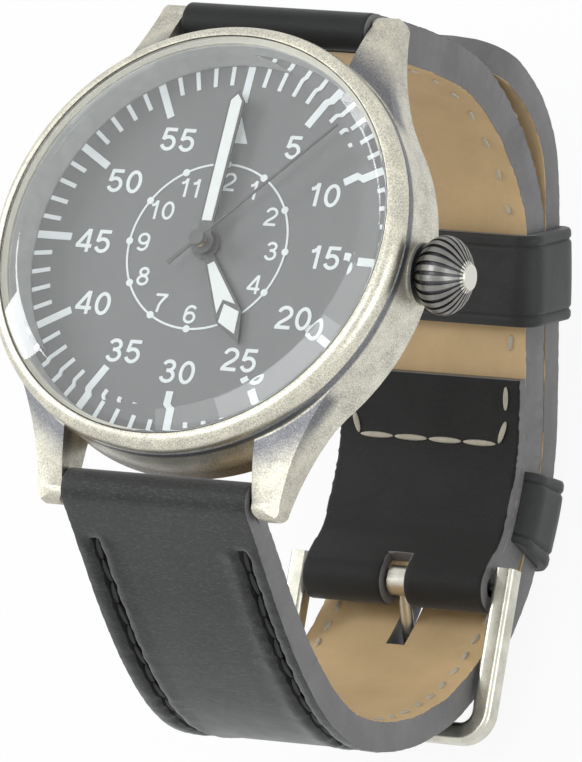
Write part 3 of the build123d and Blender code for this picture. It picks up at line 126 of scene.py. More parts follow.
@dataclass
class SidePath:
    """Straight runs joined by arcs in the YZ plane, cut into rows.

    Attributes:
        points: corners of the path.
        outward: 1 where the left of the path is outside, -1 where the right is.
        share: how much of the shorter run each arc takes.
        step: distance between rows.
        radii: arc radius at each inner corner, worked out where none is given.
        rows: the stations along the path.
    """

    points: list[Point2]
    outward: int
    share: float = 0.45
    step: float = 0.45
    radii: list[float] = field(default_factory=list)
    rows: list[Row] = field(default_factory=list)

    def headings(self, i: int) -> tuple[Vector, Vector]:
        """Finds the directions at a corner.

        Args:
            i: number of the corner.

        Returns:
            The direction into it and the direction out of it.
        """
        here = Vector(self.points[i])
        return ((here - Vector(self.points[i - 1])).normalized(),
                (Vector(self.points[i + 1]) - here).normalized())

    def bends(self) -> list[float]:
        """Works out the arc at each inner corner from the runs beside it.

        Returns:
            The radii.
        """
        radii = []
        for i in range(1, len(self.points) - 1):
            before, after = self.headings(i)
            here = Vector(self.points[i])
            shorter = min((here - Vector(self.points[i - 1])).length,
                          (Vector(self.points[i + 1]) - here).length)
            radii.append(self.share * shorter / math.tan(before.angle(after) / 2))
        return radii

    def cut(self) -> "SidePath":
        """Works out the rows.

        Returns:
            The path itself, with its rows.
        """
        self.radii = self.radii or self.bends()
        knots: list[tuple[Vector, Vector]] = []
        start = Vector(self.points[0])
        for i in range(1, len(self.points) - 1):
            corner = Vector(self.points[i])
            before, after = self.headings(i)
            turn = math.atan2(before.x * after.y - before.y * after.x, before.dot(after))
            radius = self.radii[i - 1]
            enter = corner - before * radius * math.tan(abs(turn) / 2)
            self.straight(knots, start, enter)
            centre = enter + math.copysign(radius, turn) * Vector((-before.y, before.x))
            count = max(2, round(radius * abs(turn) / self.step))
            for k in range(1, count + 1):
                degrees = math.degrees(turn) * k / count
                heading = spun(before, degrees)
                knots.append((centre + spun(enter - centre, degrees), heading))
            start = knots[-1][0]
        self.straight(knots, start, Vector(self.points[-1]))
        length, last = 0.0, knots[0][0]
        for point, heading in knots:
            length += (point - last).length
            last = point
            self.rows.append(Row(length, point, Vector((-heading.y, heading.x)) * self.outward))
        return self

    def straight(self, knots: list[tuple[Vector, Vector]], start: Vector, end: Vector) -> None:
        """Adds a straight run's stations.

        Args:
            knots: the points and headings that it adds to.
            start: start of the run.
            end: end of the run.
        """
        heading = (end - start).normalized()
        count = max(1, round((end - start).length / self.step))
        for k in range(1 if knots else 0, count + 1):
            knots.append((start.lerp(end, k / count), heading))

    def at(self, length: float) -> Row:
        """Finds the station at a length along the path.

        Args:
            length: the length, held within the path.

        Returns:
            The station.
        """
        length = min(max(length, 0.0), self.rows[-1].length)
        for first, second in zip(self.rows, self.rows[1:]):
            if second.length >= length:
                share = (length - first.length) / max(second.length - first.length, 1e-9)
                return Row(length, first.point.lerp(second.point, share),
                           first.out.lerp(second.out, share).normalized())
        return self.rows[-1]

    def between(self, low: float, high: float) -> list[Row]:
        """Stations from one length to another, with exact ends."""
        inside = [row for row in self.rows if low + 0.05 < row.length < high - 0.05]
        return [self.at(low), *inside, self.at(high)]

    def nearest(self, point: Point2) -> float:
        """Length along the path of the station nearest to a point."""
        return min(self.rows, key=lambda row: (row.point - Vector(point)).length).length

    @property
    def end(self) -> float:
        """The path's whole length."""
        return self.rows[-1].length


def arc_rows(centre: Vector, out: Vector, radius: float, degrees: Sequence[float],
             length: float) -> list[Row]:
    """Stations round a bar, for leather turned over it.

    Args:
        centre: middle of the bar in YZ.
        out: outward direction from which the degrees count to the left.
        radius: how far the outer face lies from the bar's middle.
        degrees: turns of the stations, in order.
        length: length along the strap of the first one.

    Returns:
        The rows.
    """
    rows, last = [], degrees[0]
    for turn in degrees:
        length += math.radians(abs(turn - last)) * radius
        last = turn
        way = spun(out, turn)
        rows.append(Row(length, centre + way * radius, way))
    return rows


def at_depth(x: float, row: Row, depth: float) -> Vector:
    """A point across the strap and a depth in from its outer face, in metres."""
    point = row.point - row.out * depth
    return Vector((x, point.x, point.y)) * MM


# Shaping with operators


class Former:
    """Shapes one mesh with operators and makes it a piece of the watch."""

    def __init__(self, name: str) -> None:
        """Starts an empty mesh.

        Args:
            name: name of the piece that it becomes.
        """
        self.name = name
        self.bm = bmesh.new()
        self.column = self.bm.verts.layers.int.new("column")
        self.row = self.bm.verts.layers.int.new("row")

    def sheet(self, columns: int, rows: int, place: Callable[[int, int], Vector],
              material: Callable[[int, int], int] = lambda i, j: 0) -> list[bmesh.types.BMFace]:
        """Lays a grid of faces and puts each vertex where place says.

        Args:
            columns: vertices across.
            rows: vertices along.
            place: a vertex's point, from its column and row.
            material: a face's material index, from its lowest column and row.

        Returns:
            The faces.
        """
        made = bmesh.ops.create_grid(self.bm, x_segments=columns - 1, y_segments=rows - 1,
                                     size=1.0)["verts"]
        for vert in made:
            vert[self.column] = round((vert.co.x + 1) / 2 * (columns - 1))
            vert[self.row] = round((vert.co.y + 1) / 2 * (rows - 1))
        for vert in made:
            vert.co = place(vert[self.column], vert[self.row])
        faces = list({face for vert in made for face in vert.link_faces})
        for face in faces:
            face.material_index = material(min(v[self.column] for v in face.verts),
                                           min(v[self.row] for v in face.verts))
        return faces

    def thicken(self, faces: list[bmesh.types.BMFace], place: Callable[[int, int], Vector],
                rim: int, round_over: float = 0.0) -> list[bmesh.types.BMVert]:
        """Extrudes a sheet to a closed slab.

        Args:
            faces: the sheet.
            place: where the far side's vertices go, from their column and row.
            rim: material index of the cut edge.
            round_over: how much the near corner is rounded.

        Returns:
            The vertices of the far side.
        """
        material = {face: face.material_index for face in faces}
        made = bmesh.ops.extrude_face_region(self.bm, geom=faces)["geom"]
        far = [item for item in made if isinstance(item, bmesh.types.BMVert)]
        apart = set(far)
        for vert in far:
            vert.co = place(vert[self.column], vert[self.row])
        border = set()
        for face in {face for vert in far for face in vert.link_faces}:
            if not all(vert in apart for vert in face.verts):
                face.material_index = rim
                border.update(edge for edge in face.edges
                              if not any(vert in apart for vert in edge.verts))
        for face, index in material.items():
            if face.is_valid:
                face.material_index = index
        if round_over:
            bmesh.ops.bevel(self.bm, geom=list(border), offset=round_over * MM,
                            offset_type="OFFSET", segments=3, profile=0.5, affect="EDGES",
                            material=-1, clamp_overlap=True)
        return far

    def lathe(self, profile: Sequence[Point2], closed: bool, steps: int = 256) -> None:
        """Spins a profile of (radius, height) about the Z axis, in an empty mesh.

        Args:
            profile: the points, a radius of 0 lying on the axis.
            closed: whether the last point joins the first.
            steps: how many faces go round.
        """
        verts = [self.bm.verts.new(Vector((radius, 0, height)) * MM)
                 for radius, height in profile]
        edges = [self.bm.edges.new(pair) for pair in zip(verts, verts[1:])]
        if closed:
            edges.append(self.bm.edges.new((verts[-1], verts[0])))
        bmesh.ops.spin(self.bm, geom=verts + edges, cent=(0, 0, 0), axis=(0, 0, 1),
                       dvec=(0, 0, 0), angle=math.tau, steps=steps, use_merge=True)
        bmesh.ops.remove_doubles(self.bm, verts=list(self.bm.verts), dist=FINE_WELD)

    def ribbon(self, lefts: Sequence[Vector], rights: Sequence[Vector], closed: bool,
               thick: float) -> None:
        """Makes a raised printed stroke from its two borders.

        Args:
            lefts: points of the left border, in metres.
            rights: points of the right border, in metres.
            closed: whether the stroke is a ring.
            thick: height of the print over the borders, in metres.
        """
        verts = []
        for i, point in enumerate(lefts):
            vert = self.bm.verts.new(point)
            vert[self.column] = i
            verts.append(vert)
        pairs = list(zip(verts, verts[1:])) + ([(verts[-1], verts[0])] if closed else [])
        edges = [self.bm.edges.new(pair) for pair in pairs]
        made = bmesh.ops.extrude_edge_only(self.bm, edges=edges)["geom"]
        for item in made:
            if isinstance(item, bmesh.types.BMVert):
                item.co = rights[item[self.column]]
        faces = [item for item in made if isinstance(item, bmesh.types.BMFace)]
        top = bmesh.ops.extrude_face_region(self.bm, geom=faces)["geom"]
        bmesh.ops.translate(self.bm, vec=(0, 0, thick), verts=[
            item for item in top if isinstance(item, bmesh.types.BMVert)])

    def stitch(self, start: Vector, end: Vector, lift: Vector, radius: float,
               sink: float = 0.35) -> None:
        """Adds one thread stitch between two holes.

        Args:
            start: first hole, in millimetres.
            end: second hole.
            lift: direction out of the leather.
            radius: half the thread's thickness.
            sink: share of the radius that lies below the face.
        """
        heading = (end - start).normalized()
        side = heading.cross(lift).normalized()
        turn = Matrix((side, lift.normalized(), heading)).transposed().to_4x4()
        middle = (start + end) / 2 + lift.normalized() * radius * (1 - 2 * sink) * 0.5
        size = Matrix.Diagonal((radius, radius * 0.8, (end - start).length * 0.54, 1.0))
        bmesh.ops.create_uvsphere(self.bm, u_segments=8, v_segments=8, radius=MM,
                                  matrix=Matrix.Translation(middle * MM) @ turn @ size)

    def piece(self, body: Body, slot: str, materials: Sequence[bpy.types.Material],
              replaced: Sequence[str] = (), sharp: float = 40.0) -> bpy.types.Object:
        """Makes the object and says what it rides on, stands for and is made of.

        Args:
            body: the body that it moves with.
            slot: the record's material slot; not used.
            materials: its materials, by index.
            replaced: CAD nodes that it stands for.
            sharp: angle over which an edge stays crisp, in degrees.

        Returns:
            The finished object.
        """
        bmesh.ops.recalc_face_normals(self.bm, faces=self.bm.faces)
        for face in self.bm.faces:
            face.smooth = True
        for edge in self.bm.edges:
            edge.smooth = edge.calc_face_angle(0.0) < math.radians(sharp)
        mesh = bpy.data.meshes.new(self.name)
        self.bm.to_mesh(mesh)
        self.bm.free()
        for material in materials:
            mesh.materials.append(material)
        return settle(self.name, mesh, body, replaced)


def settle(name: str, mesh: bpy.types.Mesh, body: Body,
           replaced: Sequence[str]) -> bpy.types.Object:
    """Links a mesh as a piece at the origin.

    Args:
        name: name of the piece.
        mesh: its mesh.
        body: the body that it moves with.
        replaced: CAD nodes that it stands for.

    Returns:
        The piece.
    """
    piece = bpy.data.objects.new(name, mesh)
    bpy.context.scene.collection.objects.link(piece)
    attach(piece, body.value)
    if replaced:
        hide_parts(*replaced)
    log.info("%s: %d faces on %s", name, len(mesh.polygons), body.value)
    return piece


def finish_node(node: str, body: Body, material: bpy.types.Material,
                width: float, sharp: float, segments: int = 3) -> bpy.types.Object:
    """Stands a welded copy with rounded edges in for a CAD node.

    Args:
        node: the node.
        body: its body.
        material: its finish.
        width: how wide its edges are rounded.
        sharp: angle over which an edge is rounded, in degrees.
        segments: faces across a rounded edge.

    Returns:
        The piece.
    """
    bm = bmesh.new()
    bm.from_mesh(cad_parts[node].data)
    bmesh.ops.remove_doubles(bm, verts=bm.verts, dist=0.002 * MM)
    bmesh.ops.dissolve_limit(bm, angle_limit=math.radians(0.5), verts=bm.verts,
                             edges=bm.edges)
    for face in bm.faces:
        face.smooth = True
        face.material_index = 0
    for edge in bm.edges:
        edge.smooth = edge.calc_face_angle(0.0) < math.radians(sharp)
    mesh = bpy.data.meshes.new(f"{node}_finished")
    bm.to_mesh(mesh)
    bm.free()
    mesh.materials.append(material)
    piece = settle(f"{node}_finished", mesh, body, (node,))
    bevel = piece.modifiers.new("edges", "BEVEL")
    bevel.width = width * MM
    bevel.segments = segments
    bevel.limit_method = "ANGLE"
    bevel.angle_limit = math.radians(sharp)
    bevel.harden_normals = True
    return piece


# Finishes


class Graph:
    """Builds one material's nodes."""

    def __init__(self, name: str) -> None:
        """Starts a material with only an output.

        Args:
            name: name of the material.
        """
        self.material = bpy.data.materials.new(name)
        self.material.use_nodes = True
        self.tree = self.material.node_tree
        self.tree.nodes.clear()
        self.output = self.tree.nodes.new("ShaderNodeOutputMaterial")
        self.coords = self.tree.nodes.new("ShaderNodeTexCoord")

    def node(self, kind: str) -> bpy.types.Node:
        """Adds a node of a kind."""
        return self.tree.nodes.new(kind)

    def feed(self, socket: Socket, value: Socket | float | Color) -> None:
        """Links a socket, or sets its value.

        Args:
            socket: the input.
            value: an output to link to it, a number or a colour.
        """
        if isinstance(value, bpy.types.NodeSocket):
            self.tree.links.new(value, socket)
        elif isinstance(value, tuple) and socket.type == "RGBA":
            socket.default_value = (*value, 1.0)
        else:
            socket.default_value = value

    def noise(self, size: float, detail: float = 3.0, roughness: float = 0.55,
              stretch: tuple[float, float, float] = (1.0, 1.0, 1.0),
              distortion: float = 0.0) -> Socket:
        """Noise on the piece.

        Args:
            size: size of its features.
            detail: how many octaves.
            roughness: how strong the fine octaves are.
            stretch: frequency along each axis.
            distortion: how far it is warped.

        Returns:
            The value, about 0.5 on average.
        """
        mapping = self.node("ShaderNodeMapping")
        self.feed(mapping.inputs["Vector"], self.coords.outputs["Object"])
        mapping.inputs["Scale"].default_value = stretch
        texture = self.node("ShaderNodeTexNoise")
        self.feed(texture.inputs["Vector"], mapping.outputs["Vector"])
        for name, value in (("Scale", 1.0 / (size * MM)), ("Detail", detail),
                            ("Roughness", roughness), ("Distortion", distortion)):
            texture.inputs[name].default_value = value
        return texture.outputs["Fac"]

    def spread(self, source: Socket, low: float, high: float, first: float = 0.0,
               last: float = 1.0) -> Socket:
        """Maps a range of a value to another, clamped.

        Args:
            source: the value.
            low: its value that gives first.
            high: its value that gives last.
            first: start of the new range.
            last: end of the new range.

        Returns:
            The mapped value.
        """
        ranged = self.node("ShaderNodeMapRange")
        for name, value in (("Value", source), ("From Min", low), ("From Max", high),
                            ("To Min", first), ("To Max", last)):
            self.feed(ranged.inputs[name], value)
        return ranged.outputs["Result"]

    def blend(self, factor: Socket, first: Color | Socket, second: Color | Socket) -> Socket:
        """Mixes two colours.

        Args:
            factor: share of the second.
            first: a colour.
            second: the other colour.

        Returns:
            The mix.
        """
        mix = self.node("ShaderNodeMix")
        mix.data_type = "RGBA"
        self.feed(mix.inputs["Factor"], factor)
        self.feed(mix.inputs[6], first)
        self.feed(mix.inputs[7], second)
        return mix.outputs[2]

    def combine(self, operation: str, *values: Socket | float) -> Socket:
        """Joins values by an operation.

        Args:
            operation: name of the operation.
            values: what it joins.

        Returns:
            The result.
        """
        made = self.node("ShaderNodeMath")
        made.operation = operation
        for socket, value in zip(made.inputs, values):
            self.feed(socket, value)
        return made.outputs[0]

    def split(self, output: str) -> list[Socket]:
        """Takes one of the piece's own coordinates apart.

        Args:
            output: which coordinates, Object or Normal.

        Returns:
            X, Y and Z.
        """
        separate = self.node("ShaderNodeSeparateXYZ")
        self.feed(separate.inputs[0], self.coords.outputs[output])
        return list(separate.outputs)

    def surface(self, color: Color | Socket, roughness: float | Socket, metallic: float = 0.0,
                bumps: Iterable[tuple[Socket, float, float]] = (), specular: float = 0.5,
                sheen: float = 0.0) -> bpy.types.Node:
        """Ends the material in a principled surface.

        Args:
            color: base colour.
            roughness: how blurred its gloss is.
            metallic: 1 for metal.
            bumps: (height, depth in millimetres, strength) of each layer of relief.
            specular: level of the gloss.
            sheen: weight of the soft fibre gloss.

        Returns:
            The shader node.
        """
        shader = self.node("ShaderNodeBsdfPrincipled")
        for name, value in (("Base Color", color), ("Roughness", roughness),
                            ("Metallic", metallic), ("Specular IOR Level", specular),
                            ("Sheen Weight", sheen)):
            self.feed(shader.inputs[name], value)
        normal: Socket | None = None
        for height, depth, strength in bumps:
            bump = self.node("ShaderNodeBump")
            self.feed(bump.inputs["Distance"], depth * MM)
            self.feed(bump.inputs["Strength"], strength)
            self.feed(bump.inputs["Height"], height)
            if normal is not None:
                self.feed(bump.inputs["Normal"], normal)
            normal = bump.outputs["Normal"]
        if normal is not None:
            self.feed(shader.inputs["Normal"], normal)
        self.feed(self.output.inputs["Surface"], shader.outputs[0])
        return shader


@dataclass(frozen=True)
class CaseFinish:
    """Antiqued silver stained in patches, with painted light and shade: tops and lug ends in
    another tone, and painted shade under the bezel, at the lug roots and between the lugs.
    """

    name: str = "antiqued_case"
    bright: Color = (0.68, 0.655, 0.55)
    middle: Color = (0.80, 0.78, 0.67)
    dark: Color = (0.13, 0.135, 0.155)
    speck: Color = (0.20, 0.19, 0.17)
    # Painted shade: a dark band just under the bezel and dark lug roots beside it.
    line_heights: Point2 = (7.2, 7.5)
    root_start: Point2 = (21.02, 21.2)
    root_end: Point2 = (21.9, 24.2)
    root_heights: Point2 = (4.4, 5.8)
    # Painted shade on the case's lower part between the lugs.
    belly: Color = (0.075, 0.066, 0.055)
    belly_heights: Point2 = (3.4, 5.2)
    belly_half: Point2 = (9.0, 10.2)
    lug_radii: Point2 = (21.8, 24.0)
    cloud_size: float = 2.4
    cloud_shares: Point2 = (0.25, 1.0)
    grain_size: float = 0.15
    speck_range: Point2 = (0.36, 0.62)
    ragged_range: Point2 = (0.36, 0.6)
    ragged_shares: Point2 = (0.75, 1.0)
    # Normal heights over which painted light gives up-facing faces the top tone.
    worn_ups: Point2 = (0.3, 0.85)
    roughness: Point2 = (0.34, 0.50)
    relief: float = 0.03

    def build(self) -> bpy.types.Material:
        """Builds the material.

        Returns:
            The material.
        """
        graph = Graph(self.name)
        x, y, z = graph.split("Object")
        up = graph.split("Normal")[2]
        square = graph.combine("MULTIPLY", x, x)
        radius = graph.combine("SQRT", graph.combine("ADD", square,
                                                     graph.combine("MULTIPLY", y, y)))
        cloud = graph.noise(self.cloud_size, detail=5.0, roughness=0.62)
        # Painted light and shade: faces that look up, and the lugs' outer ends, take the top
        # tone instead of the band's.
        painted_facing_light = graph.combine("MAXIMUM", graph.spread(up, *self.worn_ups),
                             graph.spread(radius, *metres(self.lug_radii)))
        base = graph.blend(painted_facing_light, self.middle, self.bright)
        # Painted shade under the bezel and at the lug roots, broken up by the grain.
        line = graph.spread(z, *metres(self.line_heights))
        ring = graph.combine("MULTIPLY", graph.spread(radius, *metres(self.root_start)),
                             graph.spread(radius, *metres(self.root_end), 1.0, 0.0))
        root_shade = graph.combine("MULTIPLY", ring, graph.spread(z, *metres(self.root_heights)))
        grain = graph.noise(self.grain_size, detail=6.0, roughness=0.75)
        speck = graph.combine("MULTIPLY", graph.spread(grain, *self.speck_range),
                              graph.spread(cloud, *MOST_NOISE, *self.cloud_shares))
        base = graph.blend(speck, base, self.speck)
        ragged = graph.spread(grain, *self.ragged_range, *self.ragged_shares)
        painted_shade = graph.combine("MULTIPLY", graph.combine("MAXIMUM", line, root_shade), ragged)
        base = graph.blend(painted_shade, base, self.dark)
        # Painted shade: the case is darker low down between the lugs.
        between = graph.spread(square, *((half * MM) ** 2 for half in self.belly_half),
                               1.0, 0.0)
        belly = graph.combine("MULTIPLY", between, graph.spread(
            z, *metres(self.belly_heights), 1.0, 0.0))
        base = graph.blend(graph.combine("MULTIPLY", belly, ragged), base, self.belly)
        rough = graph.spread(grain, *MOST_NOISE, *self.roughness)
        graph.surface(base, rough, 1.0, [(grain, self.relief, 0.6)])
        return graph.material


@dataclass(frozen=True)
class MetalFinish:
    """Metal with slow patina, fine pits or brush lines and uneven roughness."""

    name: str
    light: Color
    dark: Color
    pit: Color
    roughness: Point2
    patina_size: float = 3.0
    patina_range: Point2 = (0.36, 0.64)
    pit_size: float = 0.2
    pit_range: Point2 = (0.48, 0.70)
    pit_share: float = 0.6
    brush: tuple[float, float, float] = (1.0, 1.0, 1.0)
    relief: float = 0.02

    def build(self) -> bpy.types.Material:
        """Builds the material.

        Returns:
            The material.
        """
        graph = Graph(self.name)
        patina = graph.spread(graph.noise(self.patina_size, detail=5.0, roughness=0.6),
                              *self.patina_range)
        fine = graph.noise(self.pit_size, detail=5.0, roughness=0.68, stretch=self.brush)
        pits = graph.spread(fine, *self.pit_range, 0.0, self.pit_share)
        color = graph.blend(pits, graph.blend(patina, self.dark, self.light), self.pit)
        rough = graph.spread(fine, *MOST_NOISE, *self.roughness)
        graph.surface(color, rough, 1.0, [(fine, self.relief, 0.5)])
        return graph.material


@dataclass(frozen=True)
class CrownFinish:
    """Silver with painted shade in the grooves, bright on the ridges."""

    name: str = "crown_silver"
    ridge: Color = (0.26, 0.255, 0.24)
    # Painted shade colour of the grooves.
    groove: Color = (0.075, 0.075, 0.08)
    cap: Color = (0.72, 0.71, 0.65)
    cap_from: float = 25.7
    cap_blend: float = 0.05
    stain_range: Point2 = (0.35, 0.7)
    stain_share: float = 0.35
    roughness: Point2 = (0.30, 0.44)
    relief: float = 0.015

    def build(self) -> bpy.types.Material:
        """Builds the material.

        Returns:
            The material.
        """
        graph = Graph(self.name)
        # Painted shade: the deeper a vertex lies in a groove, the more it takes the dark groove
        # colour.
        depth = graph.node("ShaderNodeAttribute")
        depth.attribute_name = "groove"
        fine = graph.noise(0.18, detail=4.0)
        stained = graph.spread(graph.noise(0.9, detail=4.0), *self.stain_range,
                               0.0, self.stain_share)
        base = graph.blend(stained, self.ridge, self.groove)
        color = graph.blend(depth.outputs["Fac"], base, self.groove)
        along = graph.split("Object")[0]
        cap = graph.spread(along, self.cap_from * MM, (self.cap_from + self.cap_blend) * MM)
        color = graph.blend(cap, color, self.cap)
        graph.surface(color, graph.spread(fine, *MOST_NOISE, *self.roughness), 1.0,
                      [(fine, self.relief, 0.5)])
        return graph.material


@dataclass(frozen=True)
class LeatherFinish:
    """Leather with fine grain, cross creases, flecks and slow shade changes."""

    name: str
    light: Color
    dark: Color
    fleck: Color
    roughness: Point2
    grain_size: float = 0.2
    grain_depth: float = 0.035
    crease_depth: float = 0.035
    crease_size: float = 0.5
    shade_size: float = 4.0
    shade_range: Point2 = (0.34, 0.66)
    gloss_size: float = 2.0
    fleck_share: float = 1.7
    fleck_range: Point2 = (0.58, 0.80)
    specular: float = 0.5
    sheen: float = 0.0

    def build(self) -> bpy.types.Material:
        """Builds the material.

        Returns:
            The material.
        """
        graph = Graph(self.name)
        shade = graph.spread(graph.noise(self.shade_size, detail=5.0, roughness=0.62),
                             *self.shade_range)
        grain = graph.noise(self.grain_size, detail=4.0, roughness=0.7)
        crease = graph.noise(self.crease_size, detail=4.0, roughness=0.7,
                             stretch=(0.22, 1.0, 1.0), distortion=0.6)
        spots = graph.noise(self.grain_size * self.fleck_share, detail=5.0, roughness=0.78,
                            stretch=(0.5, 1.0, 1.0))
        flecks = graph.spread(spots, *self.fleck_range)
        color = graph.blend(flecks, graph.blend(shade, self.dark, self.light), self.fleck)
        rough = graph.spread(graph.noise(self.gloss_size, detail=4.0), *MOST_NOISE,
                             *self.roughness)
        graph.surface(color, rough, 0.0, [(grain, self.grain_depth, 0.7),
                                          (crease, self.crease_depth, 0.6)],
                      self.specular, self.sheen)
        return graph.material


@dataclass(frozen=True)
class PaintFinish:
    """Paint, plastic, lacquer, rubber or thread, slightly uneven."""

    name: str
    color: Color
    shade: Color
    roughness: Point2
    grain_size: float = 0.15
    depth: float = 0.004
    specular: float = 0.5
    mottle_share: float = 8.0

    def build(self) -> bpy.types.Material:
        """Builds the material.

        Returns:
            The material.
        """
        graph = Graph(self.name)
        mottle = graph.spread(graph.noise(self.grain_size * self.mottle_share, detail=4.0),
                              *MOST_NOISE)
        grain = graph.noise(self.grain_size, detail=3.0)
        graph.surface(graph.blend(mottle, self.color, self.shade),
                      graph.spread(grain, *MOST_NOISE, *self.roughness), 0.0,
                      [(grain, self.depth, 0.4)], self.specular)
        return graph.material


@dataclass(frozen=True)
class GlassFinish:
    """Clear glass that lets light through to what lies under it."""

    name: str = "crystal_glass"
    ior: float = 1.5
    shade: Color = (0.95, 0.96, 0.96)
    smear_size: float = 6.0
    smear_range: Point2 = (0.45, 0.75)
    roughness: float = 0.01

    def build(self) -> bpy.types.Material:
        """Builds the material.

        Returns:
            The material.
        """
        graph = Graph(self.name)
        smear = graph.spread(graph.noise(self.smear_size), *self.smear_range,
                             0.0, self.roughness)
        shader = graph.surface((1.0, 1.0, 1.0), smear)
        shader.inputs["IOR"].default_value = self.ior
        shader.inputs["Transmission Weight"].default_value = 1.0
        clear = graph.node("ShaderNodeBsdfTransparent")
        graph.feed(clear.inputs["Color"], self.shade)
        rays = graph.node("ShaderNodeLightPath")
        mix = graph.node("ShaderNodeMixShader")
        graph.feed(mix.inputs[0], graph.combine("MAXIMUM", rays.outputs["Is Shadow Ray"],
                                                rays.outputs["Is Diffuse Ray"]))
        graph.feed(mix.inputs[1], shader.outputs[0])
        graph.feed(mix.inputs[2], clear.outputs[0])
        graph.feed(graph.output.inputs["Surface"], mix.outputs[0])
        return graph.material


BEZEL_SILVER = MetalFinish("bezel_silver", (0.88, 0.85, 0.70), (0.68, 0.66, 0.56),
                           (0.20, 0.19, 0.17), (0.28, 0.44), patina_size=2.6, pit_size=0.15,
                           pit_range=(0.42, 0.62), pit_share=0.62)
BUCKLE_SILVER = MetalFinish("buckle_silver", (0.70, 0.69, 0.60), (0.50, 0.49, 0.42),
                            (0.40, 0.39, 0.34), (0.26, 0.38), brush=(0.3, 1.0, 1.0),
                            pit_range=(0.5, 0.85), relief=0.01)
# Painted shade: the brushed back's steel is darkened for the shade under the case.
SHADED_BACK_METAL = MetalFinish("brushed_back", (0.24, 0.23, 0.22), (0.17, 0.165, 0.155),
                         (0.30, 0.30, 0.30), (0.28, 0.42), brush=(0.05, 1.0, 1.0),
                         pit_range=(0.5, 0.85), relief=0.008)
STEEL = MetalFinish("turned_steel", (0.58, 0.58, 0.58), (0.48, 0.48, 0.48),
                    (0.30, 0.30, 0.30), (0.24, 0.36), patina_size=1.0, relief=0.005)
BRASS = MetalFinish("movement_brass", (0.70, 0.54, 0.26), (0.58, 0.44, 0.19),
                    (0.36, 0.27, 0.12), (0.26, 0.40), patina_size=1.0, relief=0.005)
COPPER = MetalFinish("coil_copper", (0.72, 0.34, 0.16), (0.58, 0.25, 0.11),
                     (0.32, 0.12, 0.06), (0.30, 0.45), patina_size=0.8, pit_size=0.12,
                     brush=(0.3, 4.0, 0.3))
CELL = MetalFinish("cell_steel", (0.70, 0.70, 0.69), (0.60, 0.60, 0.59), (0.45, 0.45, 0.45),
                   (0.15, 0.26), relief=0.004)
LEATHER = LeatherFinish("strap_leather", (0.019, 0.020, 0.019), (0.010, 0.010, 0.010),
                        (0.068, 0.068, 0.066), (0.40, 0.56), grain_size=0.14,
                        grain_depth=0.045, specular=0.25, sheen=0.34,
                        fleck_range=(0.50, 0.72))
# Painted shade: the buckle half's leather is a darker, less glossy copy of the strap leather.
SHADED_LEATHER = LeatherFinish("shaded_leather", (0.014, 0.0145, 0.014),
                               (0.008, 0.008, 0.008), (0.030, 0.030, 0.029), (0.48, 0.60),
                               grain_size=0.14, grain_depth=0.03, specular=0.20,
                               sheen=0.16, fleck_range=(0.56, 0.76))
KEEPER_LEATHER = LeatherFinish("keeper_leather", (0.026, 0.028, 0.027), (0.015, 0.016, 0.016),
                               (0.07, 0.07, 0.07), (0.46, 0.60), specular=0.3, sheen=0.25)
# Painted shade: a darker leather inside the pressed seams.
GROOVE_SHADE_LEATHER = LeatherFinish("groove_shade_leather", (0.008, 0.008, 0.008), (0.004, 0.004, 0.004),
                               (0.04, 0.04, 0.04), (0.6, 0.75), specular=0.3)
CUT_EDGE = LeatherFinish("cut_edge", (0.175, 0.170, 0.170), (0.120, 0.117, 0.118),
                         (0.24, 0.235, 0.23), (0.40, 0.54), grain_depth=0.012,
                         crease_depth=0.008)
LINING = LeatherFinish("strap_lining", (0.74, 0.53, 0.29), (0.66, 0.47, 0.25),
                       (0.80, 0.60, 0.36), (0.55, 0.70), grain_depth=0.015,
                       crease_depth=0.012, specular=0.35)
FILLER = LeatherFinish("strap_filler", (0.14, 0.135, 0.135), (0.09, 0.088, 0.088),
                       (0.2, 0.19, 0.18), (0.6, 0.75))
BLACK_THREAD = PaintFinish("black_thread", (0.006, 0.006, 0.006), (0.012, 0.012, 0.012),
                           (0.5, 0.7), 0.12, 0.04)
CREAM_THREAD = PaintFinish("cream_thread", (0.58, 0.54, 0.45), (0.48, 0.44, 0.35),
                           (0.6, 0.8), 0.12, 0.04)
DIAL_BLACK = PaintFinish("dial_black", (0.188, 0.184, 0.183), (0.178, 0.174, 0.174),
                         (0.5, 0.6), 0.08, 0.002)
PRINT_WHITE = PaintFinish("print_white", (0.84, 0.87, 0.87), (0.80, 0.83, 0.83), (0.5, 0.6))
LUME_WHITE = PaintFinish("lume_white", (0.88, 0.90, 0.87), (0.84, 0.86, 0.83), (0.6, 0.7))
HAND_LACQUER = PaintFinish("hand_lacquer", (0.15, 0.148, 0.145), (0.12, 0.118, 0.115),
                           (0.22, 0.32))
REHAUT_SATIN = PaintFinish("rehaut_satin", (0.50, 0.505, 0.49), (0.42, 0.425, 0.41),
                           (0.40, 0.55))
RUBBER = PaintFinish("gasket_rubber", (0.02, 0.02, 0.02), (0.03, 0.03, 0.03), (0.6, 0.8))
IVORY = PaintFinish("movement_plastic", (0.74, 0.71, 0.62), (0.70, 0.67, 0.58), (0.4, 0.55))
BOARD_GREEN = PaintFinish("board_green", (0.03, 0.20, 0.09), (0.02, 0.15, 0.07), (0.3, 0.4))


# Leather


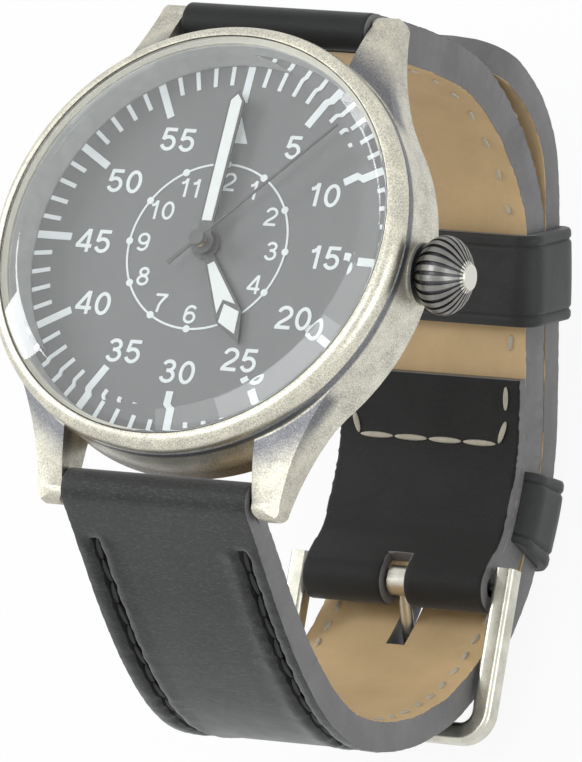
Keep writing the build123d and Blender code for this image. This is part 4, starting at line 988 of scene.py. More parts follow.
@dataclass
class Leather:
    """One ply between two depths, with its grooves, holes and shaped end.

    Attributes:
        rows: stations that it follows.
        near: depth of its outer side.
        far: depth of its inner side at a station.
        half_width: half its width.
        round_over: how much its outer corner is rounded.
        grooves: distances from the middle of its pressed seams.
        groove_span: lengths between which they run.
        groove_half: half a seam's width.
        groove_depth: how deep it is pressed in.
        groove_steps: places across in half a seam.
        seam_fade: length over which it starts and ends.
        seam_drift: how far it wanders sideways.
        seam_puff: share of its depth that puffs out beside it.
        edge_waver: how far the cut edge moves.
        edge_zone: how far from its place a vertex still counts as on it.
        plain_gap: least distance from a plain place across to a seam's.
        split_gap: least distance from any place across to a split.
        pressed_share: share of a seam's width that takes the painted shade finish.
        tip_corner: radius of its end's corners.
        holes: tests that say which places are cut away.
        splits: further places across that need a vertex.
        columns_wide: places across in half the plain width.
    """

    rows: list[Row]
    near: float
    far: Callable[[Row], float]
    half_width: float = 9.7
    round_over: float = 0.0
    grooves: tuple[float, ...] = ()
    groove_span: Point2 = (0.0, 0.0)
    groove_half: float = 0.72
    groove_depth: float = 0.85
    groove_steps: int = 4
    seam_fade: float = 0.5
    seam_drift: float = 0.3
    seam_puff: float = 0.16
    edge_waver: float = 0.06
    edge_zone: float = 0.2
    plain_gap: float = 0.11
    split_gap: float = 0.05
    pressed_share: float = 0.75
    tip_corner: float = 0.0
    holes: tuple[Callable[[float, Row], bool], ...] = ()
    splits: tuple[float, ...] = ()
    columns_wide: int = 14

    def columns(self) -> list[float]:
        """Works out the places across, closer together at grooves.

        Returns:
            The places, from left to right.
        """
        base = [self.half_width * i / self.columns_wide
                for i in range(-self.columns_wide, self.columns_wide + 1)]
        fine = [groove + i * self.groove_half / self.groove_steps for groove in self.grooves
                for i in range(-2 * self.groove_steps, 2 * self.groove_steps + 1)]
        kept = [x for x in base if all(abs(x - f) > self.plain_gap
                                    for f in (*fine, *self.splits))]
        kept += [x for x in fine if all(abs(x - s) > self.split_gap for s in self.splits)]
        return sorted({round(x, 4) for x in (*kept, *self.splits) if abs(x) <= self.half_width})

    def narrowed(self, row: Row) -> float:
        """Works out the share of the full width near the rounded tip.

        Args:
            row: the station.

        Returns:
            The share.
        """
        left = self.rows[-1].length - row.length
        if not self.tip_corner or left >= self.tip_corner:
            return 1.0
        inset = self.tip_corner - math.sqrt(
            max(self.tip_corner ** 2 - (self.tip_corner - left) ** 2, 0.0))
        return (self.half_width - inset) / self.half_width

    def pressed(self, x: float, row: Row) -> float:
        """Works out how far the outer face is pressed in at a seam.

        Args:
            x: place across.
            row: the station.

        Returns:
            The depth, below zero where the leather puffs out.
        """
        low, high = self.groove_span
        if not low < row.length < high:
            return 0.0
        fade = min(1.0, (row.length - low) / self.seam_fade,
                   (high - row.length) / self.seam_fade)
        depth = 0.0
        for groove in self.grooves:
            drift = self.seam_drift * noise.noise(Vector((groove, row.length * 0.8, 3.0)))
            off = abs(x - groove - drift) / self.groove_half
            depth += math.exp(-2.0 * off ** 3) if off < 2.2 else 0.0
            depth -= self.seam_puff * math.exp(-1.6 * (off - 1.9) ** 2)
        pull = 1.0 + 0.5 * noise.noise(Vector((x, row.length * 1.4, 7.0)))
        return fade * self.groove_depth * pull * depth

    def ragged(self, x: float, row: Row) -> float:
        """Works out the cut edge's small waver, the same on every ply.

        Args:
            x: place across.
            row: the station.

        Returns:
            How far the edge moves across.
        """
        if abs(abs(x) - self.half_width) > self.edge_zone:
            return 0.0
        waver = noise.noise(Vector((math.copysign(5, x), row.length * 0.7, 1.0)))
        return math.copysign(self.edge_waver * waver, x)

    def form(self, former: Former, face: int = 0, rim: int = 1, groove: int = 0) -> None:
        """Adds the ply to a mesh.

        Args:
            former: the mesh.
            face: material index of its sides.
            rim: material index of its cut edges.
            groove: material index inside its pressed seams, a finish of painted shade.
        """
        places = self.columns()

        def spot(depth: Callable[[float, Row], float]) -> Callable[[int, int], Vector]:
            """Makes the function that places a side of the ply.

            Args:
                depth: depth of the side at a place.

            Returns:
                The function.
            """

            def place(i: int, j: int) -> Vector:
                """Places a vertex.

                Args:
                    i: its column.
                    j: its row.

                Returns:
                    Its point.
                """
                row = self.rows[j]
                x = places[i] * self.narrowed(row)
                return at_depth(x + self.ragged(places[i], row), row, depth(x, row))

            return place

        def kind(i: int, j: int) -> int:
            """Picks a face's material.

            Args:
                i: its column.
                j: its row.

            Returns:
                The material index.
            """
            middle = (places[i] + places[min(i + 1, len(places) - 1)]) / 2
            low, high = self.groove_span
            inside = low < self.rows[j].length < high
            reach = self.groove_half * self.pressed_share
            return groove if inside and any(abs(middle - g) < reach
                                            for g in self.grooves) else face

        faces = former.sheet(len(places), len(self.rows),
                             spot(lambda x, row: self.near + self.pressed(x, row)), kind)
        if self.holes:
            gone = []
            for item in faces:
                x = sum(places[v[former.column]] for v in item.verts) / len(item.verts)
                middle = self.rows[min(v[former.row] for v in item.verts)]
                if any(hole(x, middle) for hole in self.holes):
                    gone.append(item)
            lost = set(gone)
            faces = [item for item in faces if item not in lost]
            bmesh.ops.delete(former.bm, geom=gone, context="FACES")
        former.thicken(faces, spot(lambda x, row: self.far(row)), rim, self.round_over)


@dataclass(frozen=True)
class Seam:
    """Two rows of stitches, one on each side of the middle.

    Attributes:
        off: distance from the middle to each row.
        pitch: distance from stitch to stitch.
        length: a stitch's length.
        radius: half the thread's thickness.
        slant: how far a stitch's ends lie beside the row.
    """

    off: float
    pitch: float
    length: float
    radius: float
    slant: float = 0.09

    def sew(self, former: Former, path: SidePath, depth: float, inside: bool,
            span: Point2) -> None:
        """Sews both rows along a path.

        Args:
            former: the mesh that takes them.
            path: the path.
            depth: depth of the face.
            inside: whether that face looks inwards.
            span: lengths between which the rows run.
        """
        count = int((span[1] - span[0] - self.length) / self.pitch) + 1
        for x in (-self.off, self.off):
            for k in range(count):
                start = span[0] + k * self.pitch
                slant = self.slant if k % 2 else -self.slant
                ends = []
                for along, beside in ((start, -slant), (start + self.length, slant)):
                    row = path.at(along)
                    point = row.point - row.out * depth
                    ends.append(Vector((x + beside, point.x, point.y)))
                out = path.at(start + self.length / 2).out * (-1 if inside else 1)
                former.stitch(ends[0], ends[1], Vector((0, out.x, out.y)), self.radius)


@dataclass
class Strap:
    """What both halves of the strap share.

    Attributes:
        eyelet: radius of the leather turned round the lug's spring bar.
        bar: radius of that bar's hole.
        groove_at: distance from the middle to each pressed seam.
        turn_degrees: how far the leather turns round the bar.
        turn_steps: stations in that turn.
        thin_run: length over which the outer ply gets its full thickness.
        ply_start: length at which the inner plies start.
        round_over: how much the outer ply's corner is rounded.
        lining_round_over: how much the lining's corner is rounded.
        outer_seam: the black stitches outside.
        outer_seam_depth: how deep they lie.
    """

    eyelet: float = 1.85
    bar: float = 0.85
    groove_at: float = 7.8
    turn_degrees: float = 262.0
    turn_steps: int = 30
    thin_run: float = 2.5
    ply_start: float = 1.4
    round_over: float = 0.22
    lining_round_over: float = 0.12
    outer_seam: Seam = Seam(7.8, 2.7, 2.5, 0.33)
    outer_seam_depth: float = 0.6

    def turned_end(self, path: SidePath) -> list[Row]:
        """Works out the stations of the leather turned round the lug's spring bar.

        Args:
            path: the half's path.

        Returns:
            The stations.
        """
        first = path.rows[0]
        centre = first.point - first.out * self.eyelet
        degrees = [path.outward * self.turn_degrees * (1 - k / self.turn_steps)
                   for k in range(self.turn_steps)]
        return arc_rows(centre, first.out, self.eyelet, degrees,
                        -math.radians(self.turn_degrees) * self.eyelet)

    def ply_depth(self, full: float) -> Callable[[Row], float]:
        """Returns the outer ply's thickness at a station, thinned round the bar."""
        thin = self.eyelet - self.bar
        return lambda row: thin + (full - thin) * min(1.0, max(0.0, row.length / self.thin_run))


@dataclass
class BuckleHalf(Strap):
    """The half at twelve o'clock, whose flap is folded round the buckle bar.

    Attributes:
        run: corners of its outer face, in Y and Z.
        filler: depth at which the middle ply ends.
        fold_slot: half the width of the slot for the tongue, in the fold.
        recess: lengths between which the fixed keeper lies in the plies.
        groove_margins: lengths of plain leather before and after the pressed seams.
        black_margins: the same for the outer stitches.
        cream_margins: the same for the lining's stitches, up to the flap.
        flap_line: place of the stitches across the flap, after its edge.
        flap_sides: places across, and lengths after the edge, of the side stitches' ends.
    """

    bar_centre: Point2 = (23.4, 3.9)
    run: tuple[Point2, ...] = (
        (26.8, -1.5), (28.3, -7.5), (29.5, -13.6), (29.7, -19.2), (28.5, -24.8), (26.2, -30.6),
        (22.5, -36.1), (8.6, -43.7), (0.3, -47.9), (-9.6, -48.5), (-14.6, -46.3))
    outer: float = 1.9
    filler: float = 2.4
    thick: float = 3.7
    flap: float = 1.2
    fold_slot: float = 1.3
    fold_reach: float = 2.6
    fold_taper: float = 8.0
    fold_step: float = 6.0
    fold_steps: int = 29
    row_gap: float = 0.2
    flap_gap: float = 0.2
    keeper_corner: int = 7
    fold_corner: int = 8
    fixed_corner: int = 9
    recess: Point2 = (0.9, 8.7)
    recess_depth: float = 3.0
    lining_gap: float = 0.25
    groove_margins: Point2 = (4.6, 5.0)
    black_margins: Point2 = (5.0, 5.2)
    lining_seam: Seam = Seam(8.0, 4.8, 1.5, 0.24)
    cream_margins: Point2 = (6.6, 0.3)
    flap_line: float = 6.9
    flap_first: float = -7.3
    flap_pitch: float = 3.72
    flap_length: float = 3.3
    flap_count: int = 4
    flap_radius: float = 0.29
    side_radius: float = 0.27
    flap_sides: tuple[Point2, ...] = ((7.6, 6.7), (8.25, 4.2), (8.2, 3.0), (8.2, 0.8))

    def __post_init__(self) -> None:
        """Cuts the path into rows and finds the buckle bar."""
        start = tangent_start(self.bar_centre, self.run[0], self.eyelet, 1)
        self.path = SidePath([start, *self.run], 1).cut()
        self.fold_radius = (self.thick + self.flap) / 2
        last = self.path.rows[-1]
        self.bar_point = last.point - last.out * self.fold_radius
        self.keeper_start = self.path.nearest(self.path.points[self.fixed_corner])
        edge = self.path.nearest(self.path.points[self.fold_corner])
        self.flap_start = edge + self.flap_gap

    def flap_rows(self) -> list[Row]:
        """Works out the stations round the buckle bar and back to the flap's edge.

        Returns:
            The stations.
        """
        last = self.path.rows[-1]
        rows = arc_rows(self.bar_point, last.out, self.fold_radius,
                        [-self.fold_step * k for k in range(1, self.fold_steps + 1)],
                        last.length + self.row_gap)
        length = rows[-1].length
        back = list(reversed(self.path.between(self.flap_start, last.length)))
        for row in back:
            rows.append(Row(length + last.length - row.length + self.row_gap,
                            row.point - row.out * (self.thick + self.flap), -row.out))
        return rows

    def build(self, leather: bpy.types.Material, pressed: bpy.types.Material,
              edge: bpy.types.Material, lining: bpy.types.Material,
              filler: bpy.types.Material) -> None:
        """Builds the plies.

        Args:
            leather: finish of the outer side.
            pressed: finish inside the seams, painted shade.
            edge: finish of the cut edges.
            lining: finish of the inner side.
            filler: finish of the hidden middle.
        """
        end = self.path.end
        ply = self.ply_depth(self.outer)

        def depth(row: Row) -> float:
            """Works out the outer ply's thickness, fold and flap included.

            Args:
                row: the station.

            Returns:
                The thickness.
            """
            if row.length <= end:
                return ply(row)
            fold = self.fold_radius - self.bar
            return fold + (self.flap - fold) * min(1.0, (row.length - end) / self.fold_taper)

        def slot(x: float, row: Row) -> bool:
            """Says whether a place lies in the tongue's slot."""
            reach = (row.point - self.bar_point).length
            return abs(x) < self.fold_slot and reach < self.fold_reach

        former = Former("strap_12_leather_ply")
        Leather(self.turned_end(self.path) + self.path.rows + self.flap_rows(), 0.0, depth,
                round_over=self.round_over, grooves=(-self.groove_at, self.groove_at),
                groove_span=(self.groove_margins[0], end - self.groove_margins[1]),
                holes=(slot,),
                splits=(-self.fold_slot, self.fold_slot)).form(former, 0, 1, 2)
        former.piece(Body.CASE, "leather_black", (leather, edge, pressed), ("strap_12_leather",))

        former = Former("strap_12_filler_ply")
        first, last = (self.keeper_start + reach for reach in self.recess)
        Leather(self.path.between(self.ply_start, first), self.outer,
                lambda row: self.filler).form(former)
        former.piece(Body.CASE, "leather_filler", (filler, edge), ("strap_12_filler",))

        former = Former("strap_12_lining_ply")
        for span, near in (((self.ply_start, first), self.filler),
                           ((first, last), self.recess_depth),
                           ((last, end - self.lining_gap), self.outer)):
            rows = self.path.between(*span)
            flipped = [Row(row.length, row.point - row.out * self.thick, -row.out)
                       for row in rows]
            Leather(flipped, 0.0, lambda row, near=near: self.thick - near,
                    round_over=self.lining_round_over).form(former)
        former.piece(Body.CASE, "leather_tan", (lining, edge), ("strap_12_lining",))

    def sew(self, black: Former, cream: Former) -> None:
        """Sews the outer seams, the lining and the flap.

        Args:
            black: mesh of the outer thread.
            cream: mesh of the lining's thread.
        """
        end = self.path.end
        self.outer_seam.sew(black, self.path, self.outer_seam_depth, False,
                            (self.black_margins[0], end - self.black_margins[1]))
        self.lining_seam.sew(cream, self.path, self.thick, True,
                             (self.cream_margins[0], self.flap_start - self.cream_margins[1]))
        surface = self.thick + self.flap
        line = self.path.at(self.flap_start + self.flap_line)
        lift = Vector((0, -line.out.x, -line.out.y))
        for k in range(self.flap_count):
            spot = at_depth(self.flap_first + self.flap_pitch * k, line, surface) / MM
            cream.stitch(spot, spot + Vector((self.flap_length, 0, 0)), lift, self.flap_radius)
        for x in (-1.0, 1.0):
            low, high, top, edge = (
                at_depth(x * across, self.path.at(self.flap_start + along), surface) / MM
                for across, along in self.flap_sides)
            cream.stitch(low, high, lift, self.flap_radius)
            cream.stitch(top, edge, lift, self.side_radius)


@dataclass
class TailHalf(Strap):
    """The half at six o'clock, whose tail runs outside the buckle half.

    Attributes:
        run: corners of its outer face before the buckle, in Y and Z.
        tip: corners of its outer face after the shared run.
        shared: numbers of the other half's corners that it runs along.
        filler: depth at which the middle ply ends.
        slot_span: Y between which the tongue's slot lies.
        slot_top: Z below which it lies.
        slot_splits: places across that need a vertex in the slot and the holes.
        hole_shares: places of the spare holes, as shares of their run.
        groove_margins: lengths of plain leather before and after the pressed seams.
        black_margins: the same for the outer stitches.
        cream_margins: the same for the lining's stitches.
    """

    bar_centre: Point2 = (-23.4, 3.9)
    run: tuple[Point2, ...] = (
        (-28.2, -1.0), (-31.4, -6.6), (-34.2, -12.6), (-36.2, -18.8), (-36.7, -24.7),
        (-35.2, -30.7), (-32.6, -36.5), (-28.3, -42.4), (-24.6, -45.6), (-20.8, -48.2),
        (-15.6, -50.4))
    tip: tuple[Point2, ...] = ((28.6, -35.6), (31.4, -31.2), (32.6, -26.0), (32.8, -19.2))
    shared: tuple[int, ...] = (10, 9, 8, 7)
    gap: float = 0.22
    outer: float = 1.5
    filler: float = 1.7
    thick: float = 2.8
    tip_corner: float = 4.5
    slot_half: float = 0.95
    slot_span: Point2 = (-21.2, -14.2)
    slot_top: float = -44.0
    slot_splits: tuple[float, ...] = (-0.6, -0.3, 0.0, 0.3, 0.6)
    hole_radius: float = 0.9
    hole_shares: Point2 = (0.2, 0.65)
    hole_run: int = 14
    groove_margins: Point2 = (4.4, 4.0)
    black_margins: Point2 = (4.8, 4.4)
    lining_seam: Seam = Seam(8.0, 2.8, 1.4, 0.24)
    cream_margins: Point2 = (9.0, 6.0)

    def follow(self, buckle_half: BuckleHalf) -> "TailHalf":
        """Runs the tail parallel to the other half, outside it.

        Args:
            buckle_half: the half that the tail lies on.

        Returns:
            This half, with its path cut.
        """
        depth = self.gap + self.thick
        first = tangent_start(self.bar_centre, self.run[0], self.eyelet, -1)
        points = [first, *self.run]
        start = len(points) - 1
        other = buckle_half.path
        for i in self.shared:
            before, after = other.headings(i)
            blend = Vector((-before.y - after.y, before.x + after.x))
            place = Vector(other.points[i]) + blend * (2 * depth / blend.length_squared)
            points.append((place.x, place.y))
        points += self.tip
        self.path = SidePath(points, -1)
        self.path.radii = self.path.bends()
        for offset, i in enumerate(self.shared):
            self.path.radii[start + offset] = other.radii[i - 1] + depth
        self.path.cut()
        return self

    def cut_away(self) -> tuple[Callable[[float, Row], bool], ...]:
        """Makes the tests for the tongue's slot and the spare holes.

        Returns:
            The tests.
        """
        low, high = self.slot_span

        def slot(x: float, row: Row) -> bool:
            """Says whether a place lies in the tongue's slot."""
            below = row.point.y < self.slot_top
            return abs(x) < self.slot_half and low < row.point.x < high and below

        centres = []
        first, last = (Vector(self.path.points[self.hole_run + k]) for k in (0, 1))
        for share in self.hole_shares:
            spot = first.lerp(last, share)
            centres.append(self.path.nearest((spot.x, spot.y)))

        def spare(x: float, row: Row) -> bool:
            """Says whether a place lies in a spare hole."""
            return any(math.hypot(x, row.length - centre) < self.hole_radius
                       for centre in centres)

        return (slot, spare)

    def build(self, leather: bpy.types.Material, pressed: bpy.types.Material,
              edge: bpy.types.Material, lining: bpy.types.Material,
              filler: bpy.types.Material) -> None:
        """Builds the plies.

        Args:
            leather: finish of the outer side.
            pressed: finish inside the seams, painted shade.
            edge: finish of the cut edges.
            lining: finish of the inner side.
            filler: finish of the hidden middle.
        """
        end = self.path.end
        holes = self.cut_away()
        splits = (-self.slot_half, *self.slot_splits, self.slot_half)
        former = Former("strap_6_leather_ply")
        Leather(self.turned_end(self.path) + self.path.rows, 0.0, self.ply_depth(self.outer),
                round_over=self.round_over, grooves=(-self.groove_at, self.groove_at),
                groove_span=(self.groove_margins[0], end - self.groove_margins[1]),
                tip_corner=self.tip_corner, holes=holes, splits=splits).form(former, 0, 1, 2)
        former.piece(Body.CASE, "leather_black", (leather, edge, pressed), ("strap_6_leather",))

        rows = self.path.between(self.ply_start, end)
        former = Former("strap_6_filler_ply")
        Leather(rows, self.outer, lambda row: self.filler, tip_corner=self.tip_corner,
                holes=holes, splits=splits).form(former)
        former.piece(Body.CASE, "leather_filler", (filler, edge), ("strap_6_filler",))

        former = Former("strap_6_lining_ply")
        flipped = [Row(row.length, row.point - row.out * self.thick, -row.out) for row in rows]
        around = tuple(lambda x, row, test=test: test(x, Row(
            row.length, row.point - row.out * self.thick, -row.out)) for test in holes)
        Leather(flipped, 0.0, lambda row: self.thick - self.filler,
                round_over=self.lining_round_over, tip_corner=self.tip_corner, holes=around,
                splits=splits).form(former)
        former.piece(Body.CASE, "leather_tan", (lining, edge), ("strap_6_lining",))

    def sew(self, black: Former, cream: Former) -> None:
        """Sews the outer seams and the lining.

        Args:
            black: mesh of the outer thread.
            cream: mesh of the lining's thread.
        """
        end = self.path.end
        self.outer_seam.sew(black, self.path, self.outer_seam_depth, False,
                            (self.black_margins[0], end - self.black_margins[1]))
        self.lining_seam.sew(cream, self.path, self.thick, True,
                             (self.cream_margins[0], end - self.cream_margins[1]))


@dataclass
class KeeperLoop:
    """A leather loop round the strap, with a crease along each edge.

    Attributes:
        name: name of the piece.
        node: CAD node that it stands for.
        body: body that it moves with.
        rows: stations from one edge to the other.
        floor: depth of the loop's inner face under the strap.
        roof: height of its inner face over the strap.
        crease_at: distance of each crease from the edge.
        crown: how far its middle bulges.
    """

    name: str
    node: str
    body: Body
    rows: list[Row]
    floor: float
    roof: float
    half: float = 9.9
    wall: float = 1.2
    inner_wall: float = 1.1
    corner: float = 2.1
    inner_corner: float = 0.2
    crease_at: float = 1.05
    crease_width: float = 0.17
    crease_depth: float = 0.26
    edge_reach: float = 0.35
    edge_drop: float = 0.22
    crown: float = 0.10
    corner_points: int = 7
    long_steps: int = 26
    short_steps: int = 8

    def outline(self, grow: float, corner: float) -> list[Point2]:
        """Draws a rounded box round the strap, always with as many points.

        Args:
            grow: 0 for its inner face, 1 for its outer one.
            corner: radius of the box's corners.

        Returns:
            The points, the first one twice.
        """
        wide = self.half + grow * self.wall
        high = self.roof + grow * self.wall
        low = -self.floor - grow * self.inner_wall
        sides = ((wide, high, 0, self.long_steps), (-wide, high, 90, self.short_steps),
                 (-wide, low, 180, self.long_steps), (wide, low, 270, self.short_steps))
        turn = 90 / (self.corner_points - 1)
        arcs: list[list[Point2]] = []
        for cx, cz, start, _ in sides:
            mx = cx - math.copysign(corner, cx)
            mz = cz - corner if start in (0, 90) else cz + corner
            arcs.append([(mx + corner * math.cos(math.radians(start + turn * k)),
                          mz + corner * math.sin(math.radians(start + turn * k)))
                         for k in range(self.corner_points)])
        dense: list[Point2] = []
        for arc, following, side in zip(arcs, arcs[1:] + arcs[:1], sides):
            dense += arc
            x, z = arc[-1]
            next_x, next_z = following[0]
            dense += [(x + (next_x - x) * k / side[3], z + (next_z - z) * k / side[3])
                      for k in range(1, side[3])]
        return dense + dense[:1]

    def pushed(self, along: float, span: float) -> float:
        """Works out how far the outer face is pushed out by the bulge, creases and edges.

        Args:
            along: distance from the loop's first edge.
            span: the loop's width.

        Returns:
            How far, as a share of the wall.
        """
        bulge = self.crown * math.sin(math.pi * along / span)
        crease = sum(math.exp(-((along - at) / self.crease_width) ** 2)
                     for at in (self.crease_at, span - self.crease_at))
        edge = max(0.0, 1 - min(along, span - along) / self.edge_reach)
        return (bulge - self.crease_depth * crease - self.edge_drop * edge ** 2) / self.wall

    def build(self, material: bpy.types.Material) -> None:
        """Builds the loop.

        Args:
            material: finish of its leather.
        """
        outer = self.outline(1.0, self.corner)
        inner = self.outline(0.0, self.inner_corner)
        first, last = self.rows[0].length, self.rows[-1].length

        def place(level: Callable[[Row], float]) -> Callable[[int, int], Vector]:
            """Makes the function that places a face of the loop.

            Args:
                level: 0 on the inner outline and 1 on the outer one, at a station.

            Returns:
                The function.
            """

            def put(i: int, j: int) -> Vector:
                """Places a vertex.

                Args:
                    i: its column.
                    j: its row.

                Returns:
                    Its point.
                """
                row = self.rows[j]
                share = level(row)
                x = inner[i][0] + (outer[i][0] - inner[i][0]) * share
                z = inner[i][1] + (outer[i][1] - inner[i][1]) * share
                return at_depth(x, row, -z)

            return put

        former = Former(self.name)
        faces = former.sheet(len(outer), len(self.rows), place(
            lambda row: 1.0 + self.pushed(row.length - first, last - first)))
        bmesh.ops.remove_doubles(former.bm, verts=former.bm.verts, dist=WELD)
        faces = [face for face in faces if face.is_valid]
        former.thicken(faces, place(lambda row: 0.0), 0)
        former.piece(self.body, "keeper_leather", (material,), (self.node,))


@dataclass
class WatchStrap:
    """Both halves, their threads and the two keepers."""

    clearance: float = 0.2
    fixed_start: float = 0.9
    fixed_length: float = 7.8
    fixed_steps: int = 60
    free_start: float = 2.3
    free_length: float = 8.8
    free_steps: int = 66

    def fixed_rows(self, half: BuckleHalf) -> list[Row]:
        """Works out the stations of the fixed keeper, which follow the bent strap.

        Args:
            half: the half that carries it.

        Returns:
            The stations.
        """
        start = half.keeper_start + self.fixed_start
        return [half.path.at(start + self.fixed_length * k / self.fixed_steps)
                for k in range(self.fixed_steps + 1)]

    def free_rows(self, half: BuckleHalf) -> list[Row]:
        """Works out the stations of the free keeper, which lie on a straight run.

        Args:
            half: the half that carries it.

        Returns:
            The stations.
        """
        corner = Vector(half.path.points[half.keeper_corner])
        onward = Vector(half.path.points[half.fold_corner])
        heading = (onward - corner).normalized()
        out = Vector((-heading.y, heading.x))
        lengths = [self.free_length * k / self.free_steps for k in range(self.free_steps + 1)]
        return [Row(length, corner + heading * (self.free_start + length), out)
                for length in lengths]

    def build(self) -> None:
        """Builds the strap."""
        pressed, edge = GROOVE_SHADE_LEATHER.build(), CUT_EDGE.build()
        lining, filler = LINING.build(), FILLER.build()
        buckle_half = BuckleHalf()
        tail_half = TailHalf().follow(buckle_half)
        black, cream = Former("black_thread"), Former("cream_thread")
        # The buckle half takes the darker copy of the leather, which is painted shade.
        for half, finish in ((buckle_half, SHADED_LEATHER), (tail_half, LEATHER)):
            half.build(finish.build(), pressed, edge, lining, filler)
            half.sew(black, cream)
        black.piece(Body.CASE, "leather_black", (BLACK_THREAD.build(),))
        cream.piece(Body.CASE, "leather_tan", (CREAM_THREAD.build(),))

        keeper = KEEPER_LEATHER.build()
        roof = tail_half.gap + tail_half.thick + self.clearance
        KeeperLoop("fixed_keeper_loop", "fixed_keeper", Body.CASE,
                   self.fixed_rows(buckle_half), buckle_half.outer, roof).build(keeper)
        KeeperLoop("free_keeper_loop", "free_keeper", Body.KEEPER,
                   self.free_rows(buckle_half), buckle_half.thick + self.clearance,
                   roof).build(keeper)


# Glass, bezel and dial


def softened(profile: Sequence[Point2], radius: float, steps: int = 4) -> list[Point2]:
    """Replaces each inner corner of an open profile with a small arc.

    Args:
        profile: the points.
        radius: how far from a corner its arc starts.
        steps: steps of an arc.

    Returns:
        The new profile.
    """
    result = [profile[0]]
    for a, b, c in zip(profile, profile[1:], profile[2:]):
        corner = Vector(b)
        before, after = Vector(a) - corner, Vector(c) - corner
        reach = min(radius, before.length / 2.2, after.length / 2.2)
        first = corner + before.normalized() * reach
        last = corner + after.normalized() * reach
        for k in range(steps + 1):
            t = k / steps
            point = first * (1 - t) ** 2 + corner * (2 * t * (1 - t)) + last * t * t
            result.append((point.x, point.y))
    result.append(profile[-1])
    return result


@dataclass
class Crystal:
    """The thick glass with its wide polished bevel."""

    radius: float = 19.72
    low: float = 9.1
    edge_high: float = 10.4
    high: float = 11.25
    bevel_width: float = 2.2
    soft: float = 0.22

    def build(self) -> None:
        """Builds the glass."""
        flat = self.radius - self.bevel_width
        profile = softened([(0, self.high), (flat, self.high), (self.radius, self.edge_high),
                            (self.radius, self.low), (0, self.low)], self.soft)
        former = Former("crystal_glass")
        former.lathe(profile, closed=False)
        piece = former.piece(Body.CASE, "crystal_glass", (GlassFinish().build(),),
                             ("crystal",), sharp=60.0)
        weighted = piece.modifiers.new("weighted", "WEIGHTED_NORMAL")
        weighted.keep_sharp = True


@dataclass
class Bezel:
    """The round topped bezel."""

    radius: float = 21.05
    top_radius: float = 19.85
    seat: float = 19.77
    inner: float = 18.95
    low: float = 8.3
    ledge: float = 8.9
    high: float = 10.45
    side_high: float = 8.95
    arc_steps: int = 14
    lip_drop: float = 0.06
    lip_cut: Point2 = (0.03, 0.01)
    foot: float = 0.14
    foot_cut: Point2 = (0.05, 0.04)

    def build(self, metal: bpy.types.Material) -> None:
        """Builds the ring.

        Args:
            metal: its finish.
        """
        arc = []
        for k in range(self.arc_steps + 1):
            turn = math.radians(90 * k / self.arc_steps)
            arc.append((self.top_radius + (self.radius - self.top_radius) * math.sin(turn),
                        self.side_high + (self.high - self.side_high) * math.cos(turn)))
        profile = [(self.inner, self.low), (self.inner, self.ledge), (self.seat, self.ledge),
                   (self.seat, self.high - self.lip_drop),
                   (self.seat + self.lip_cut[0], self.high - self.lip_cut[1]), *arc,
                   (self.radius, self.low + self.foot),
                   (self.radius - self.foot_cut[0], self.low + self.foot_cut[1]),
                   (self.radius - self.foot, self.low)]
        former = Former("bezel_ring")
        former.lathe(profile, closed=True)
        former.piece(Body.CASE, "case_metal", (metal,), ("bezel",), sharp=35.0)


Stroke = tuple[list[Point2], bool]


def bow(cx: float, cy: float, rx: float, ry: float, start: float, end: float,
        steps: int = 18) -> list[Point2]:
    """Draws part of an ellipse.

    Args:
        cx: its middle, across.
        cy: its middle, up.
        rx: half its width.
        ry: half its height.
        start: angle of the first point, in degrees.
        end: angle of the last point.
        steps: steps between them.

    Returns:
        The points.
    """
    return [(cx + rx * math.cos(math.radians(start + (end - start) * k / steps)),
             cy + ry * math.sin(math.radians(start + (end - start) * k / steps)))
            for k in range(steps + 1)]


